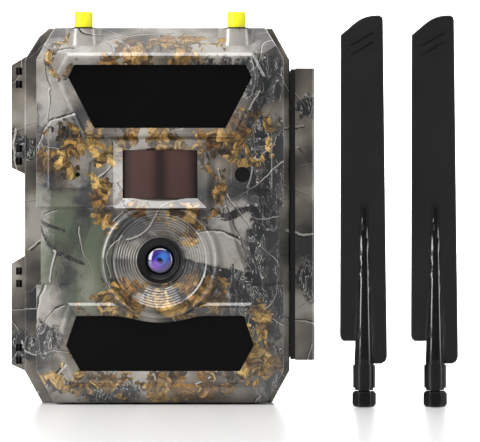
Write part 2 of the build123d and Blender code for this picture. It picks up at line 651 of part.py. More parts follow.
def spring_strip(row):
    """The sprung contacts at the outer end of one row of cells, on one strip."""
    low, high = BAY_Z
    middle = (low + high) / 2
    foot = middle + (DIVIDER_HALF + 0.5 + CELL_LENGTH + CELL_NUB) * row
    wall = high if row > 0 else low
    plate = sorted((wall, wall - 0.5 * row))
    coil = sorted((foot, wall - 0.4 * row))
    body = box(BAY_X - BAY_HALF + 0.3, BAY_X + BAY_HALF - 0.3, -2.6, 10.6, *plate)
    for i in range(CELL_COLUMNS):
        x = BAY_X + (i + 0.5 - CELL_COLUMNS / 2) * CELL_PITCH
        radii = (2.4, 4.0) if row > 0 else (4.0, 2.4)
        body += cone_z(x, CELL_Y, *radii, *coil)
    return body


def centre_contact():
    """The strip that the nubs of both rows press on, folded over the divider's front edge."""
    low, high = BAY_Z
    middle = (low + high) / 2
    left, right = BAY_X - BAY_HALF + 0.3, BAY_X + BAY_HALF - 0.3
    outer = DIVIDER_HALF + 0.5
    body = box(left, right, -4.6, 10.6, middle - outer, middle + outer)
    return body - box(left - 1, right + 1, -4.0, 11.6, middle - DIVIDER_HALF, middle + DIVIDER_HALF)


def tripod_insert():
    body = rod_z(0, 0, INSERT_RADIUS, 0, INSERT_HEIGHT)
    return body - rod_z(0, 0, THREAD_RADIUS, -1, THREAD_DEPTH)


def power_jack():
    body = rod_z(JACK_X, 0, JACK_RADIUS, 2.0, 12.0) - rod_z(JACK_X, 0, JACK_BORE, 1, 11.0)
    return body + rod_z(JACK_X, 0, 0.9, 7.6, 11.2)


def power_plug():
    body = rod_z(JACK_X, 0, 5.8, 0.3, 1.9) + rod_z(JACK_X, 0, JACK_BORE - RUNNING, 1.8, 7.0)
    return body - box(JACK_X - 4, JACK_X + 4, -0.6, 0.6, 0, 0.8)


def strap_bracket():
    left, right = BRACKET_X
    low, high = BRACKET_Z
    plate_back = BACK_Y + BRACKET_PLATE
    body = box(left, right, BACK_Y, plate_back, low, high)
    for x in (left, right - RAIL_WIDTH):
        rail = box(x, x + RAIL_WIDTH, plate_back - 0.5, BRACKET_BACK, low, high)
        teeth = 14
        pitch = (high - low) / teeth
        for i in range(teeth):
            z = low + i * pitch
            rail -= side_prism([(BRACKET_BACK - 2.4, z + pitch / 2), (BRACKET_BACK + 1, z - 0.6), (BRACKET_BACK + 1, z + pitch + 0.6)], x - 1, x + RAIL_WIDTH + 1)
        body += rail
    y0, y1, z0, z1 = STRAP_SLOT
    body -= box(left - 1, right + 1, y0, y1, z0, z1)
    for z in LOCK_Z:
        body -= Pos((left + right) / 2, LOCK_Y, z) * Rot(0, 90, 0) * Cylinder(LOCK_RADIUS, right - left + 2)
    return body


# ---- latch ---------------------------------------------------------------------------------------
def latch_lever():
    low, high = LATCH_Z
    x, y = LATCH_AXIS
    front = LATCH_FRONT
    points = [
        (LATCH_INNER, front),
        (LATCH_OUTER - 0.9, front),
        (LATCH_OUTER, front + 1.4),
        (LATCH_OUTER, y + 1.0),
        (LATCH_OUTER - 1.2, y + LATCH_KNUCKLE),
        (x, y + LATCH_KNUCKLE),
        (x, y - LATCH_KNUCKLE),
        (LATCH_OUTER - 2.6, y - LATCH_KNUCKLE - 2.0),
        (LATCH_OUTER - 2.6, front + 5.6),
        (LATCH_OUTER - 3.8, front + 4.4),
        (LATCH_INNER, front + 4.4),
    ]
    body = plan_prism(points, low, high) + rod_z(x, y, LATCH_KNUCKLE, low, high)
    for z0, z1 in LATCH_BRACKETS:
        body -= rod_z(x, y, LATCH_KNUCKLE + 0.3, z0 - 0.3, z1 + 0.3)
        body -= box(BODY_RIGHT, x + 1.5, y - 4.5, y + 4.5, z0 - 0.3, z1 + 0.3)
        body -= box(x, x + 3.3, y, y + 4.5, z0 - 0.3, z1 + 0.3)
    body -= rod_z(x, y, HINGE_PIN + RUNNING, low - 1, high + 1)
    corner = 1.0
    for z, step in ((low, 1), (high, -1)):
        wedge = [(LATCH_OUTER + 1, z - step), (LATCH_OUTER + 1, z + (corner + 1) * step), (LATCH_OUTER - corner, z - step)]
        body -= slab(wedge, front - 1, y + 5)
    return body


def latch_hook():
    """The dark strip between the lever and the edge of the cover."""
    low, high = LATCH_Z
    body = box(BODY_RIGHT + 0.25, LATCH_INNER, LATCH_FRONT + 0.5, LATCH_FRONT + 5.0, low + 0.3, high - 0.3)
    return chamfer(body.edges().filter_by(Axis.X), 0.5)


def latch_pin():
    return rod_z(*LATCH_AXIS, HINGE_PIN, LATCH_Z[0] + 0.3, LATCH_Z[1] - 0.3)


# ---- antennas ------------------------------------------------------------------------------------
def antenna(x):
    blade = [(-8.75, 137.7), (-8.95, 26.4), (-8.6, 25.2), (-7.7, 24.4), (-2.0, 24.4), (-1.0, 16.0), (6.4, 16.0), (7.8, 16.9), (8.4, 18.6)]
    edge = Polyline(*blade, (6.9, 143.2), (6.6, 144.3), (5.5, 145.0))
    top = Spline([(5.5, 145.0), (0.0, 144.2), (-8.75, 137.7)], tangents=[(-1, 0.02), (-0.79, -0.61)])
    face = make_face(Curve() + [edge, top])
    body = raised(Plane.XZ.offset(-BLADE_THICK / 2) * face, -BLADE_THICK / 2, BLADE_THICK / 2)
    body = chamfer(body.edges().group_by(Axis.Y)[0] + body.edges().group_by(Axis.Y)[-1], 0.5)
    body += cone_z(0, 0, STEM_RADIUS, BLADE_THICK / 2 + 0.05, 17.4, STEM_TIP)
    body += rod_z(0, 0, STEM_RADIUS, NUT_TOP, 17.5)
    body += rod_z(0, 0, NUT_RADIUS, 7.1, NUT_TOP)
    body += rod_z(0, 0, 3.5, 6.2, 7.2)
    body += rod_z(0, 0, 2.0, 2.6, 6.5)
    for z in (136.2, 132.7):
        groove = Pos(-0.8, -BLADE_THICK / 2, z) * Rot(0, -30, 0) * Box(9.4, 0.9, 0.8)
        body -= groove
    return Pos(x, ANTENNA_Y, 0) * body


def antenna_nut(x):
    body = rod_z(0, 0, NUT_RADIUS, 0, 6.0)
    body = chamfer(body.edges().filter_by(GeomType.CIRCLE), 0.5)
    body -= rod_z(0, 0, 2.05, -1, 7)
    body -= rod_z(0, 0, SMA_RADIUS + 0.05, -1, 4.6)
    return Pos(x, ANTENNA_Y, 0) * body


def build():
    add("front_cover", front_cover())
    add("upper_pane", window_pane(UPPER_PANE, False))
    add("lower_pane", window_pane(LOWER_PANE, True))
    add("upper_led_board", led_board(UPPER_PANE, ((109.0, 3, 6.8), (115.6, 3, 6.8), (122.2, 4, 6.8))))
    add("lower_led_board", led_board(LOWER_PANE, ((18.6, 4, 6.5), (25.4, 4, 6.5))))
    add("pir_window", pir_window())
    add("pir_sensor", pir_sensor())
    add("light_window", light_window())
    add("lens_barrel", lens_barrel())
    add("lens_glass", lens_glass())
    add("camera_module", camera_module())
    add("main_board", main_board())
    add("inner_panel", inner_panel())
    add("display", display())
    for name, (x, z, radius) in BUTTONS.items():
        add(name, button(x, z, radius))
    add("power_switch", power_switch())
    add("sd_card", sd_card())
    for i, (x, z) in enumerate(SCREW_POSTS, 1):
        add(f"panel_screw_{i}", panel_screw(x, z))
    for side, x in (("left", -SOCKET_X), ("right", SOCKET_X)):
        add(f"antenna_port_{side}", sma_port(x))
        add(f"port_washer_{side}", port_washer(x))
        add(f"dust_cap_{side}", dust_cap(x))
    add("gasket", gasket())
    add("hinge_pin_lower", hinge_pin(*HINGE_BLOCKS[0]))
    add("hinge_pin_upper", hinge_pin(*HINGE_BLOCKS[1]))
    add("rear_housing", rear_housing())
    add("battery_liner", battery_liner())
    add("battery_door", battery_door())
    number = 0
    for row in (-1, 1):
        for i in range(CELL_COLUMNS):
            number += 1
            add(f"cell_{number}", cell(BAY_X + (i + 0.5 - CELL_COLUMNS / 2) * CELL_PITCH, row))
    add("spring_strip_lower", spring_strip(-1))
    add("spring_strip_upper", spring_strip(1))
    add("centre_contact", centre_contact())
    add("tripod_insert", tripod_insert())
    add("power_jack", power_jack())
    add("power_plug", power_plug())
    add("strap_bracket", strap_bracket())
    add("latch_lever", latch_lever())
    add("latch_hook", latch_hook())
    add("latch_pin", latch_pin())
    for side, x in (("left", ANTENNA_X[0]), ("right", ANTENNA_X[1])):
        add(f"antenna_{side}", antenna(x))
        add(f"antenna_nut_{side}", antenna_nut(x))


if __name__ == "__main__":
    os.makedirs("parts", exist_ok=True)
    build()
    for name, shape in PARTS.items():
        export_step(shape, f"parts/{name}.step")
        print(name, len(shape.solids()), round(shape.volume, 1), shape.is_valid)
    print(len(PARTS), "sub-parts")
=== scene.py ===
"""Looks for a trail camera: a camouflage film on the case, dark panes, a coated lens, and the small parts inside.

Laid out as an add-on and run as a script. Everything is in metres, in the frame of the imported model: +X to the right
seen from the front, +Y towards the back, +Z up, with the tripod thread's mouth at the origin.
"""

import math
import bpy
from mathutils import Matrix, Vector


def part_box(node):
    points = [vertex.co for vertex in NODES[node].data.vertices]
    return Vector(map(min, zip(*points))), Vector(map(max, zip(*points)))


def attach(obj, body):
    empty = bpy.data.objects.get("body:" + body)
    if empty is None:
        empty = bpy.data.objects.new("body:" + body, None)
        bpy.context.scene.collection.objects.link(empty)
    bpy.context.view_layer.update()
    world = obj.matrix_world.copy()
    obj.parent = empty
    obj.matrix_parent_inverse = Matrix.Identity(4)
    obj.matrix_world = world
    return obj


bl_info = {
    "name": "Trail camera finishes",
    "version": (1, 0, 0),
    "blender": (4, 5, 0),
    "location": "View3D > Sidebar > Trail camera",
    "description": "Film, glass, plastics and small parts for a trail camera",
    "category": "Object",
}

import bmesh
import bpy
from mathutils import Vector

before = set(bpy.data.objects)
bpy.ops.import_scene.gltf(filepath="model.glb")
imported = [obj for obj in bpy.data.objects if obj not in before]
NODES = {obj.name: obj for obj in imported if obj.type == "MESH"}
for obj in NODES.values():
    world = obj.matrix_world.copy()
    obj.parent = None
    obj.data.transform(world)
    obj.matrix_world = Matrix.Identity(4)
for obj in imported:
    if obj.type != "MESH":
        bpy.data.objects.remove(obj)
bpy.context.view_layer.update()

MM = 0.001
FRONT_Y = -0.045
LENS_LOW, LENS_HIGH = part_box("lens_glass")
LENS_X, LENS_Z = (LENS_LOW.x + LENS_HIGH.x) / 2, (LENS_LOW.z + LENS_HIGH.z) / 2
PORT_RADIUS = 0.003
AIM = Vector((0.0302, -0.020, 0.0684))  # what stands in the middle of the picture
VIEW_WIDTH = 0.1813  # across the picture, where the aim is
PIR_Z = (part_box("pir_window")[0].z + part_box("pir_window")[1].z) / 2
BUTTON_NODES = ("menu_button", "up_button", "down_button", "left_button", "right_button", "ok_button")
CELL_NODES = tuple(f"cell_{i}" for i in range(1, 9))
SCREW_NODES = tuple(f"panel_screw_{i}" for i in range(1, 5))


# ---- building node trees -------------------------------------------------------------------------
class Graph:
    """Short calls that add shader nodes to one tree and return their outputs."""

    def __init__(self, tree):
        self.tree = tree

    def node(self, kind, **settings):
        made = self.tree.nodes.new(kind)
        for key, value in settings.items():
            setattr(made, key, value)
        return made

    def feed(self, socket, value):
        if isinstance(value, bpy.types.NodeSocket):
            self.tree.links.new(value, socket)
        elif value is not None:
            socket.default_value = value

    def math(self, operation, a, b=None, c=None, clamp=False):
        made = self.node("ShaderNodeMath", operation=operation, use_clamp=clamp)
        for socket, value in zip(made.inputs, (a, b, c)):
            self.feed(socket, value)
        return made.outputs[0]

    def vector(self, operation, a, b=None, scale=None):
        made = self.node("ShaderNodeVectorMath", operation=operation)
        self.feed(made.inputs[0], a)
        self.feed(made.inputs[1], b)
        if scale is not None:
            self.feed(made.inputs["Scale"], scale)
        return made.outputs["Value"] if operation in ("DOT_PRODUCT", "LENGTH", "DISTANCE") else made.outputs["Vector"]

    def mix(self, factor, a, b, blend="MIX"):
        made = self.node("ShaderNodeMix", data_type="RGBA", blend_type=blend)
        self.feed(made.inputs[0], factor)
        self.feed(made.inputs[6], a)
        self.feed(made.inputs[7], b)
        return made.outputs[2]

    def span(self, value, low, high, smooth=True):
        """0 below low, 1 above high. With low above high it falls instead."""
        made = self.node("ShaderNodeMapRange", interpolation_type="SMOOTHSTEP" if smooth else "LINEAR")
        flip = low > high if not isinstance(low, bpy.types.NodeSocket) else False
        ends = (high, low) if flip else (low, high)
        self.feed(made.inputs["Value"], value)
        self.feed(made.inputs["From Min"], ends[0])
        self.feed(made.inputs["From Max"], ends[1])
        if flip:
            made.inputs["To Min"].default_value, made.inputs["To Max"].default_value = 1.0, 0.0
        return made.outputs["Result"]

    def noise(self, vector, scale, detail=2.0, roughness=0.5, distortion=0.0, dimensions="3D"):
        made = self.node("ShaderNodeTexNoise", noise_dimensions=dimensions)
        self.feed(made.inputs["Vector"], vector)
        made.inputs["Scale"].default_value = scale
        made.inputs["Detail"].default_value = detail
        made.inputs["Roughness"].default_value = roughness
        made.inputs["Distortion"].default_value = distortion
        return made.outputs["Fac"], made.outputs["Color"]

    def ramp(self, value, stops):
        made = self.node("ShaderNodeValToRGB")
        elements = made.color_ramp.elements
        while len(elements) < len(stops):
            elements.new(0.5)
        for element, (place, colour) in zip(elements, stops):
            element.position = place
            element.color = (*colour[:3], 1.0)
        self.feed(made.inputs[0], value)
        return made.outputs[0]

    def split(self, vector):
        made = self.node("ShaderNodeSeparateXYZ")
        self.feed(made.inputs[0], vector)
        return made.outputs

    def channels(self, colour):
        made = self.node("ShaderNodeSeparateColor")
        self.feed(made.inputs[0], colour)
        return made.outputs

    def shade(self, colour, factor):
        """A colour times a factor that runs up to 1."""
        return self.mix(self.math("SUBTRACT", 1.0, factor, clamp=True), colour, (0.0, 0.0, 0.0, 1.0))

    def push(self, place, chance, amount):
        """A flat place moved by the first two channels of a noise's colour."""
        right, up, _ = self.channels(chance)
        moves = (self.math("MULTIPLY_ADD", one, amount, -0.5 * amount) for one in (right, up))
        return self.vector("ADD", place, self.join(*moves))

    def join(self, x, y, z=0.0):
        made = self.node("ShaderNodeCombineXYZ")
        for socket, value in zip(made.inputs, (x, y, z)):
            self.feed(socket, value)
        return made.outputs[0]

    def bump(self, height, strength, distance):
        made = self.node("ShaderNodeBump")
        self.feed(made.inputs["Strength"], strength)
        made.inputs["Distance"].default_value = distance
        self.feed(made.inputs["Height"], height)
        return made.outputs["Normal"]

    def group(self, name, **values):
        made = self.node("ShaderNodeGroup")
        made.node_tree = bpy.data.node_groups[name]
        for key, value in values.items():
            self.feed(made.inputs[key.replace("_", " ")], value)
        return made.outputs


def shader_group(name, inputs, outputs):
    """An empty shader node group with named sockets. Returns its graph, its input node and its output node."""
    tree = bpy.data.node_groups.new(name, "ShaderNodeTree")
    kinds = {"value": "NodeSocketFloat", "colour": "NodeSocketColor", "vector": "NodeSocketVector"}
    for label, kind, default in inputs:
        socket = tree.interface.new_socket(label, in_out="INPUT", socket_type=kinds[kind])
        if default is not None:
            socket.default_value = default
    for label, kind in outputs:
        tree.interface.new_socket(label, in_out="OUTPUT", socket_type=kinds[kind])
    graph = Graph(tree)
    return graph, graph.node("NodeGroupInput").outputs, graph.node("NodeGroupOutput").inputs


def srgb(text):
    """A linear colour from a hexadecimal one."""
    parts = [int(text[i : i + 2], 16) / 255 for i in (1, 3, 5)]
    return tuple(p / 12.92 if p <= 0.04045 else ((p + 0.055) / 1.055) ** 2.4 for p in parts) + (1.0,)


def finish(name, roughness=0.5, metallic=0.0, colour=(0.5, 0.5, 0.5, 1.0), **sockets):
    """A material with a plain Principled shader. Returns it with its graph and shader."""
    material = bpy.data.materials.new(name)
    material.use_nodes = True
    graph = Graph(material.node_tree)
    shader = material.node_tree.nodes["Principled BSDF"]
    shader.inputs["Base Color"].default_value = colour
    shader.inputs["Roughness"].default_value = roughness
    shader.inputs["Metallic"].default_value = metallic
    for key, value in sockets.items():
        shader.inputs[key.replace("_", " ")].default_value = value
    return material, graph, shader


def wear(material, *nodes):
    """Gives every slot of these CAD nodes one material."""
    for name in nodes:
        slots = NODES[name].material_slots
        for slot in slots:
            slot.material = material


def object_coordinates(graph):
    return graph.node("ShaderNodeTexCoord").outputs["Object"]


# ---- shader groups that several finishes share ---------------------------------------------------
def make_moulded_grain():
    """Fine bumps, cloudy gloss and a slight change of shade, as on a moulded plastic."""
    g, given, out = shader_group(
        "Moulded grain",
        [("Colour", "colour", (0.1, 0.1, 0.1, 1)), ("Shade change", "value", 0.2), ("Roughness", "value", 0.5),
         ("Grain size", "value", 2500.0), ("Depth", "value", 0.1)],
        [("Colour", "colour"), ("Roughness", "value"), ("Normal", "vector")],
    )
    place = object_coordinates(g)
    cloud, _ = g.noise(place, 60.0, 3.0)
    fine = g.node("ShaderNodeTexNoise")
    g.feed(fine.inputs["Vector"], place)
    g.feed(fine.inputs["Scale"], given["Grain size"])
    fine.inputs["Detail"].default_value = 2.0
    shade = g.math("MULTIPLY_ADD", g.math("SUBTRACT", cloud, 0.5), given["Shade change"], 1.0)
    g.feed(out["Colour"], g.vector("SCALE", given["Colour"], scale=shade))
    rough = g.math("MULTIPLY_ADD", g.math("SUBTRACT", cloud, 0.5), 0.25, given["Roughness"])
    g.feed(out["Roughness"], g.math("ADD", rough, 0.0, clamp=True))
    g.feed(out["Normal"], g.bump(fine.outputs["Fac"], given["Depth"], 0.2 * MM))


def make_wrap():
    """Lays the front, sides, top and base out flat, in centimetres, so that a print runs on round the edges."""
    g, _, out = shader_group("Wrap", [], [("Print", "vector")])
    coordinates = g.node("ShaderNodeTexCoord")
    x, y, z = g.split(coordinates.outputs["Object"])
    nx, ny, nz = g.split(coordinates.outputs["Normal"])
    behind = g.math("MAXIMUM", g.math("SUBTRACT", y, FRONT_Y + 0.0055), 0.0)
    side = g.math("MAXIMUM", g.math("MINIMUM", g.math("MULTIPLY", x, 40.0), 1.0), -1.0)
    level = g.math("GREATER_THAN", g.math("ABSOLUTE", nz), 0.8)
    upper = g.math("MULTIPLY", g.math("SIGN", nz), level)
    back = g.math("GREATER_THAN", ny, 0.6)
    forward = g.math("SUBTRACT", 1.0, back)
    flat = g.math("MULTIPLY", forward, g.math("SUBTRACT", 1.0, level))
    u = g.math("MULTIPLY_ADD", behind, g.math("MULTIPLY", side, flat), x)
    v = g.math("MULTIPLY_ADD", behind, upper, z)
    u = g.math("ADD", u, g.math("MULTIPLY", back, 0.31))
    g.feed(out["Print"], g.vector("SCALE", g.join(u, v), scale=100.0))


def scattered(g, given):
    """Three chances for the nearest scattered thing, and how far along and across it this print point lies."""
    cells = g.node("ShaderNodeTexVoronoi", voronoi_dimensions="2D")
    g.feed(cells.inputs["Vector"], given["Print"])
    g.feed(cells.inputs["Scale"], given["Density"])
    chance = g.channels(cells.outputs["Color"])
    turn = g.node("ShaderNodeVectorRotate", rotation_type="Z_AXIS")
    g.feed(turn.inputs["Vector"], g.vector("SUBTRACT", given["Print"], cells.outputs["Position"]))
    g.feed(turn.inputs["Angle"], g.math("MULTIPLY", chance[0], math.tau))
    along, across, _ = g.split(turn.outputs[0])
    return chance, along, across


def make_leaf_layer():
    """Scattered lobed leaves: a mask, their colour, and a dark rim."""
    g, given, out = shader_group(
        "Leaf layer",
        [("Print", "vector", None), ("Density", "value", 1.0), ("Length", "value", 1.5),
         ("Light", "colour", (1, 1, 1, 1)), ("Middle", "colour", (1, 1, 1, 1)), ("Dark", "colour", (1, 1, 1, 1))],
        [("Mask", "value"), ("Colour", "colour")],
    )
    chance, along, across = scattered(g, given)
    bend = g.math("MULTIPLY", g.math("MULTIPLY", along, along), g.math("SUBTRACT", chance[1], 0.5))
    across = g.math("ADD", across, bend)
    s = g.math("ADD", g.math("DIVIDE", along, given["Length"]), 0.5)
    inside = g.math("MULTIPLY", g.math("GREATER_THAN", s, 0.0), g.math("LESS_THAN", s, 1.0))
    belly = g.math("SINE", g.math("MULTIPLY", s, math.pi))
    lobes = g.math("ABSOLUTE", g.math("SINE", g.math("MULTIPLY_ADD", s, 9.4, g.math("MULTIPLY", chance[2], 3.0))))
    wide = g.math("MULTIPLY", belly, g.math("MULTIPLY_ADD", lobes, 0.6, 0.4))
    wide = g.math("MULTIPLY", wide, g.math("MULTIPLY", given["Length"], 0.34))
    off = g.math("ABSOLUTE", across)
    room = g.math("MULTIPLY", g.math("SUBTRACT", wide, off), inside)
    mask = g.span(room, 0.0, 0.04)
    vein = g.math("FRACT", g.math("MULTIPLY_ADD", off, -2.6, g.math("MULTIPLY", s, 7.0)))
    ribs = g.span(g.math("ABSOLUTE", g.math("SUBTRACT", vein, 0.5)), 0.12, 0.02)
    vein = g.math("MAXIMUM", ribs, g.span(off, 0.05, 0.01))
    blotch, _ = g.noise(given["Print"], 1.7, 5.0, 0.72, 0.8, "2D")
    colour = g.mix(g.span(blotch, 0.38, 0.62), given["Dark"], g.mix(chance[1], given["Middle"], given["Light"]))
    colour = g.mix(g.math("MULTIPLY", g.math("GREATER_THAN", across, 0.0), 0.4), colour, given["Dark"])
    colour = g.mix(g.math("MULTIPLY", vein, 0.45), colour, given["Dark"])
    colour = g.mix(g.math("MULTIPLY", g.span(blotch, 0.60, 0.72), 0.6), colour, srgb("#f0d9a4"))
    rim = g.span(room, 0.09, 0.02)
    colour = g.mix(g.math("MULTIPLY", rim, 0.85), colour, (0.012, 0.009, 0.006, 1))
    g.feed(out["Mask"], mask)
    g.feed(out["Colour"], colour)


def make_twig_layer():
    """Scattered short twigs: a mask of the wood and one of the light along its edge."""
    g, given, out = shader_group(
        "Twig layer",
        [("Print", "vector", None), ("Density", "value", 0.5), ("Length", "value", 2.2), ("Width", "value", 0.05)],
        [("Wood", "value"), ("Light", "value")],
    )
    chance, along, across = scattered(g, given)
    curve = g.math("SINE", g.math("MULTIPLY", along, g.math("MULTIPLY_ADD", chance[1], 2.5, 1.0)))
    across = g.math("MULTIPLY_ADD", curve, -0.22, across)
    s = g.math("ADD", g.math("DIVIDE", along, given["Length"]), 0.5)
    inside = g.math("MULTIPLY", g.math("GREATER_THAN", s, 0.0), g.math("LESS_THAN", s, 1.0))
    wide = g.math("MULTIPLY", given["Width"], g.math("MULTIPLY_ADD", s, -0.8, 1.0))
    edge = g.math("SUBTRACT", wide, g.math("ABSOLUTE", across))
    g.feed(out["Wood"], g.math("MULTIPLY", g.span(edge, 0.0, 0.03), inside))
    lit = g.math("SUBTRACT", g.math("MULTIPLY", wide, 0.7), g.math("ABSOLUTE", g.math("SUBTRACT", across, wide)))
    g.feed(out["Light"], g.math("MULTIPLY", g.span(lit, 0.0, 0.03), inside))


def make_branch():
    """One straight run of a branch between two points, thinner at its far end."""
    g, given, out = shader_group(
        "Branch",
        [("Print", "vector", None), ("From", "vector", (0, 0, 0)), ("To", "vector", (1, 1, 0)),
         ("Width", "value", 0.1), ("Taper", "value", 0.5),
         ("Wood so far", "value", 0.0), ("Light so far", "value", 0.0)],
        [("Wood", "value"), ("Light", "value")],
    )
    rel = g.vector("SUBTRACT", given["Print"], given["From"])
    way = g.vector("SUBTRACT", given["To"], given["From"])
    t = g.math("DIVIDE", g.vector("DOT_PRODUCT", rel, way), g.vector("DOT_PRODUCT", way, way), clamp=True)
    off = g.vector("SUBTRACT", rel, g.vector("SCALE", way, scale=t))
    wide = g.math("MULTIPLY", given["Width"], g.math("SUBTRACT", 1.0, g.math("MULTIPLY", t, given["Taper"])))
    wood = g.span(g.math("SUBTRACT", wide, g.vector("LENGTH", off)), 0.0, 0.025)
    g.feed(out["Wood"], g.math("MAXIMUM", wood, given["Wood so far"]))
    shifted = g.vector("ADD", off, g.vector("SCALE", (0.66, -0.55, 0.0), scale=wide))
    lit = g.span(g.math("SUBTRACT", g.math("MINIMUM", wide, 0.055), g.vector("LENGTH", shifted)), 0.0, 0.03)
    g.feed(out["Light"], g.math("MAXIMUM", lit, given["Light so far"]))


# Places on the film, in centimetres on the case seen from the front: (x, z, half width, half height).
LEAF_PATCHES = (
    (0.3, 13.6, 2.0, 0.9), (-1.2, 12.9, 1.0, 0.5), (-3.6, 9.4, 1.4, 1.0), (-2.2, 10.1, 1.7, 0.6), (0.2, 9.6, 2.6, 0.7),
    (-2.0, 8.0, 0.6, 1.5), (0.3, 7.2, 2.2, 0.35), (2.0, 8.2, 0.4, 1.0), (-1.6, 3.9, 1.5, 0.8), (1.3, 4.0, 1.6, 0.9),
    (0.5, 0.7, 2.6, 0.6), (-3.3, 1.1, 1.4, 0.7), (3.4, 1.4, 1.2, 0.7), (3.0, 10.4, 1.4, 0.6), (3.7, 2.4, 0.5, 1.4),
    (1.2, 6.5, 0.6, 0.5), (-3.7, 12.9, 0.5, 0.9), (3.4, 9.4, 0.8, 0.7),
    (-9.9, 11.5, 1.2, 1.3), (10.2, 3.4, 1.2, 1.3),
)
BARK_PATCHES = (
    (4.1, 5.6, 0.8, 3.2), (3.9, 12.2, 1.3, 0.9), (2.3, 12.4, 1.9, 0.5), (4.0, 9.2, 1.0, 1.6), (-5.2, 9.35, 1.2, 0.45),
    (-5.0, 2.4, 1.4, 0.7), (4.6, 0.9, 0.8, 1.3), (3.1, 3.3, 0.9, 0.9), (-2.0, 0.5, 1.3, 0.4), (2.5, 4.6, 1.5, 0.5),
    (7.8, 11.1, 0.9, 0.5), (7.7, 4.7, 0.8, 0.9), (-7.6, 9.6, 1.6, 0.5), (-7.6, 2.1, 1.6, 0.6),
    (-9.5, 7.0, 1.3, 3.5), (10.0, 8.0, 1.3, 3.5),
)
SHADE_PATCHES = (
    (-2.5, 7.4, 0.8, 1.5), (-4.2, 10.7, 0.9, 0.6), (-4.4, 8.3, 0.8, 0.4), (-1.2, 6.6, 1.2, 0.5), (-3.4, 4.3, 0.5, 1.2),
    (3.3, 7.9, 1.0, 0.9), (2.8, 3.2, 1.4, 0.6), (-4.9, 1.9, 0.8, 1.0),
    (-5.4, 10.8, 0.6, 0.6),
)
GREEN_PATCHES = (
    (-3.7, 6.9, 0.6, 1.0), (-2.5, 5.6, 0.7, 1.3), (-2.6, 4.1, 0.9, 0.9), (-5.0, 7.6, 0.6, 0.7), (4.3, 7.8, 0.6, 1.0),
    (-4.6, 5.2, 0.8, 0.8), (5.9, 6.1, 0.7, 1.3), (3.8, 3.0, 0.7, 0.7),
)
# Pale spots of the print. The narrow strip at (-4.6, 6.6) runs down the left chamfer of the waist and is a painted
# highlight there.
PALE_PRINT_AND_HIGHLIGHT_PATCHES = (
    (-4.0, 11.2, 0.6, 1.2), (-4.8, 3.9, 1.0, 0.7), (1.9, 5.9, 1.2, 0.8), (3.0, 6.9, 1.1, 0.6), (-3.2, 13.4, 1.0, 0.8),
    (2.8, 13.6, 0.8, 0.6), (-4.6, 6.6, 0.4, 1.6), (5.4, 1.9, 0.5, 0.7), (5.6, 9.3, 0.5, 0.9),
)
# Branches as runs of points with a width, in the same centimetres.
BRANCHES = (
    (((-5.6, 7.4), (-4.7, 6.9), (-3.6, 6.5)), 0.09),
    (((-4.6, 6.6), (-3.9, 5.7), (-2.9, 5.3)), 0.10),
    (((-3.9, 5.7), (-4.1, 4.6)), 0.06),
    (((2.2, 8.8), (2.5, 7.4), (3.0, 6.2), (3.4, 5.0)), 0.05),
    (((2.4, 7.0), (3.4, 7.3), (3.9, 6.5)), 0.16),
    (((4.3, 9.6), (3.8, 8.2), (4.2, 6.4), (4.0, 4.6), (4.6, 3.4)), 0.26),
    (((0.6, 12.4), (2.2, 12.5), (3.6, 12.4)), 0.20),
    (((-4.4, 13.0), (-4.1, 11.8), (-4.2, 10.2)), 0.05),
    (((-5.6, 11.7), (-4.6, 11.1), (-4.5, 10.3)), 0.03),
    (((-5.7, 4.6), (-4.9, 4.0), (-4.5, 3.0), (-3.9, 2.3)), 0.05),
    (((4.1, 12.8), (3.9, 11.6), (3.1, 10.3)), 0.26),
    (((-1.9, 6.6), (-1.4, 7.2), (0.2, 6.9), (1.2, 7.1)), 0.04),
    (((0.9, 5.2), (2.4, 4.9), (4.4, 2.6)), 0.24),
    (((5.2, 8.2), (5.7, 7.0), (6.2, 7.4)), 0.05),
    (((7.0, 9.6), (7.8, 8.6), (8.4, 9.1)), 0.05),
    (((5.2, 11.2), (6.0, 10.2), (7.2, 10.4)), 0.06),
)


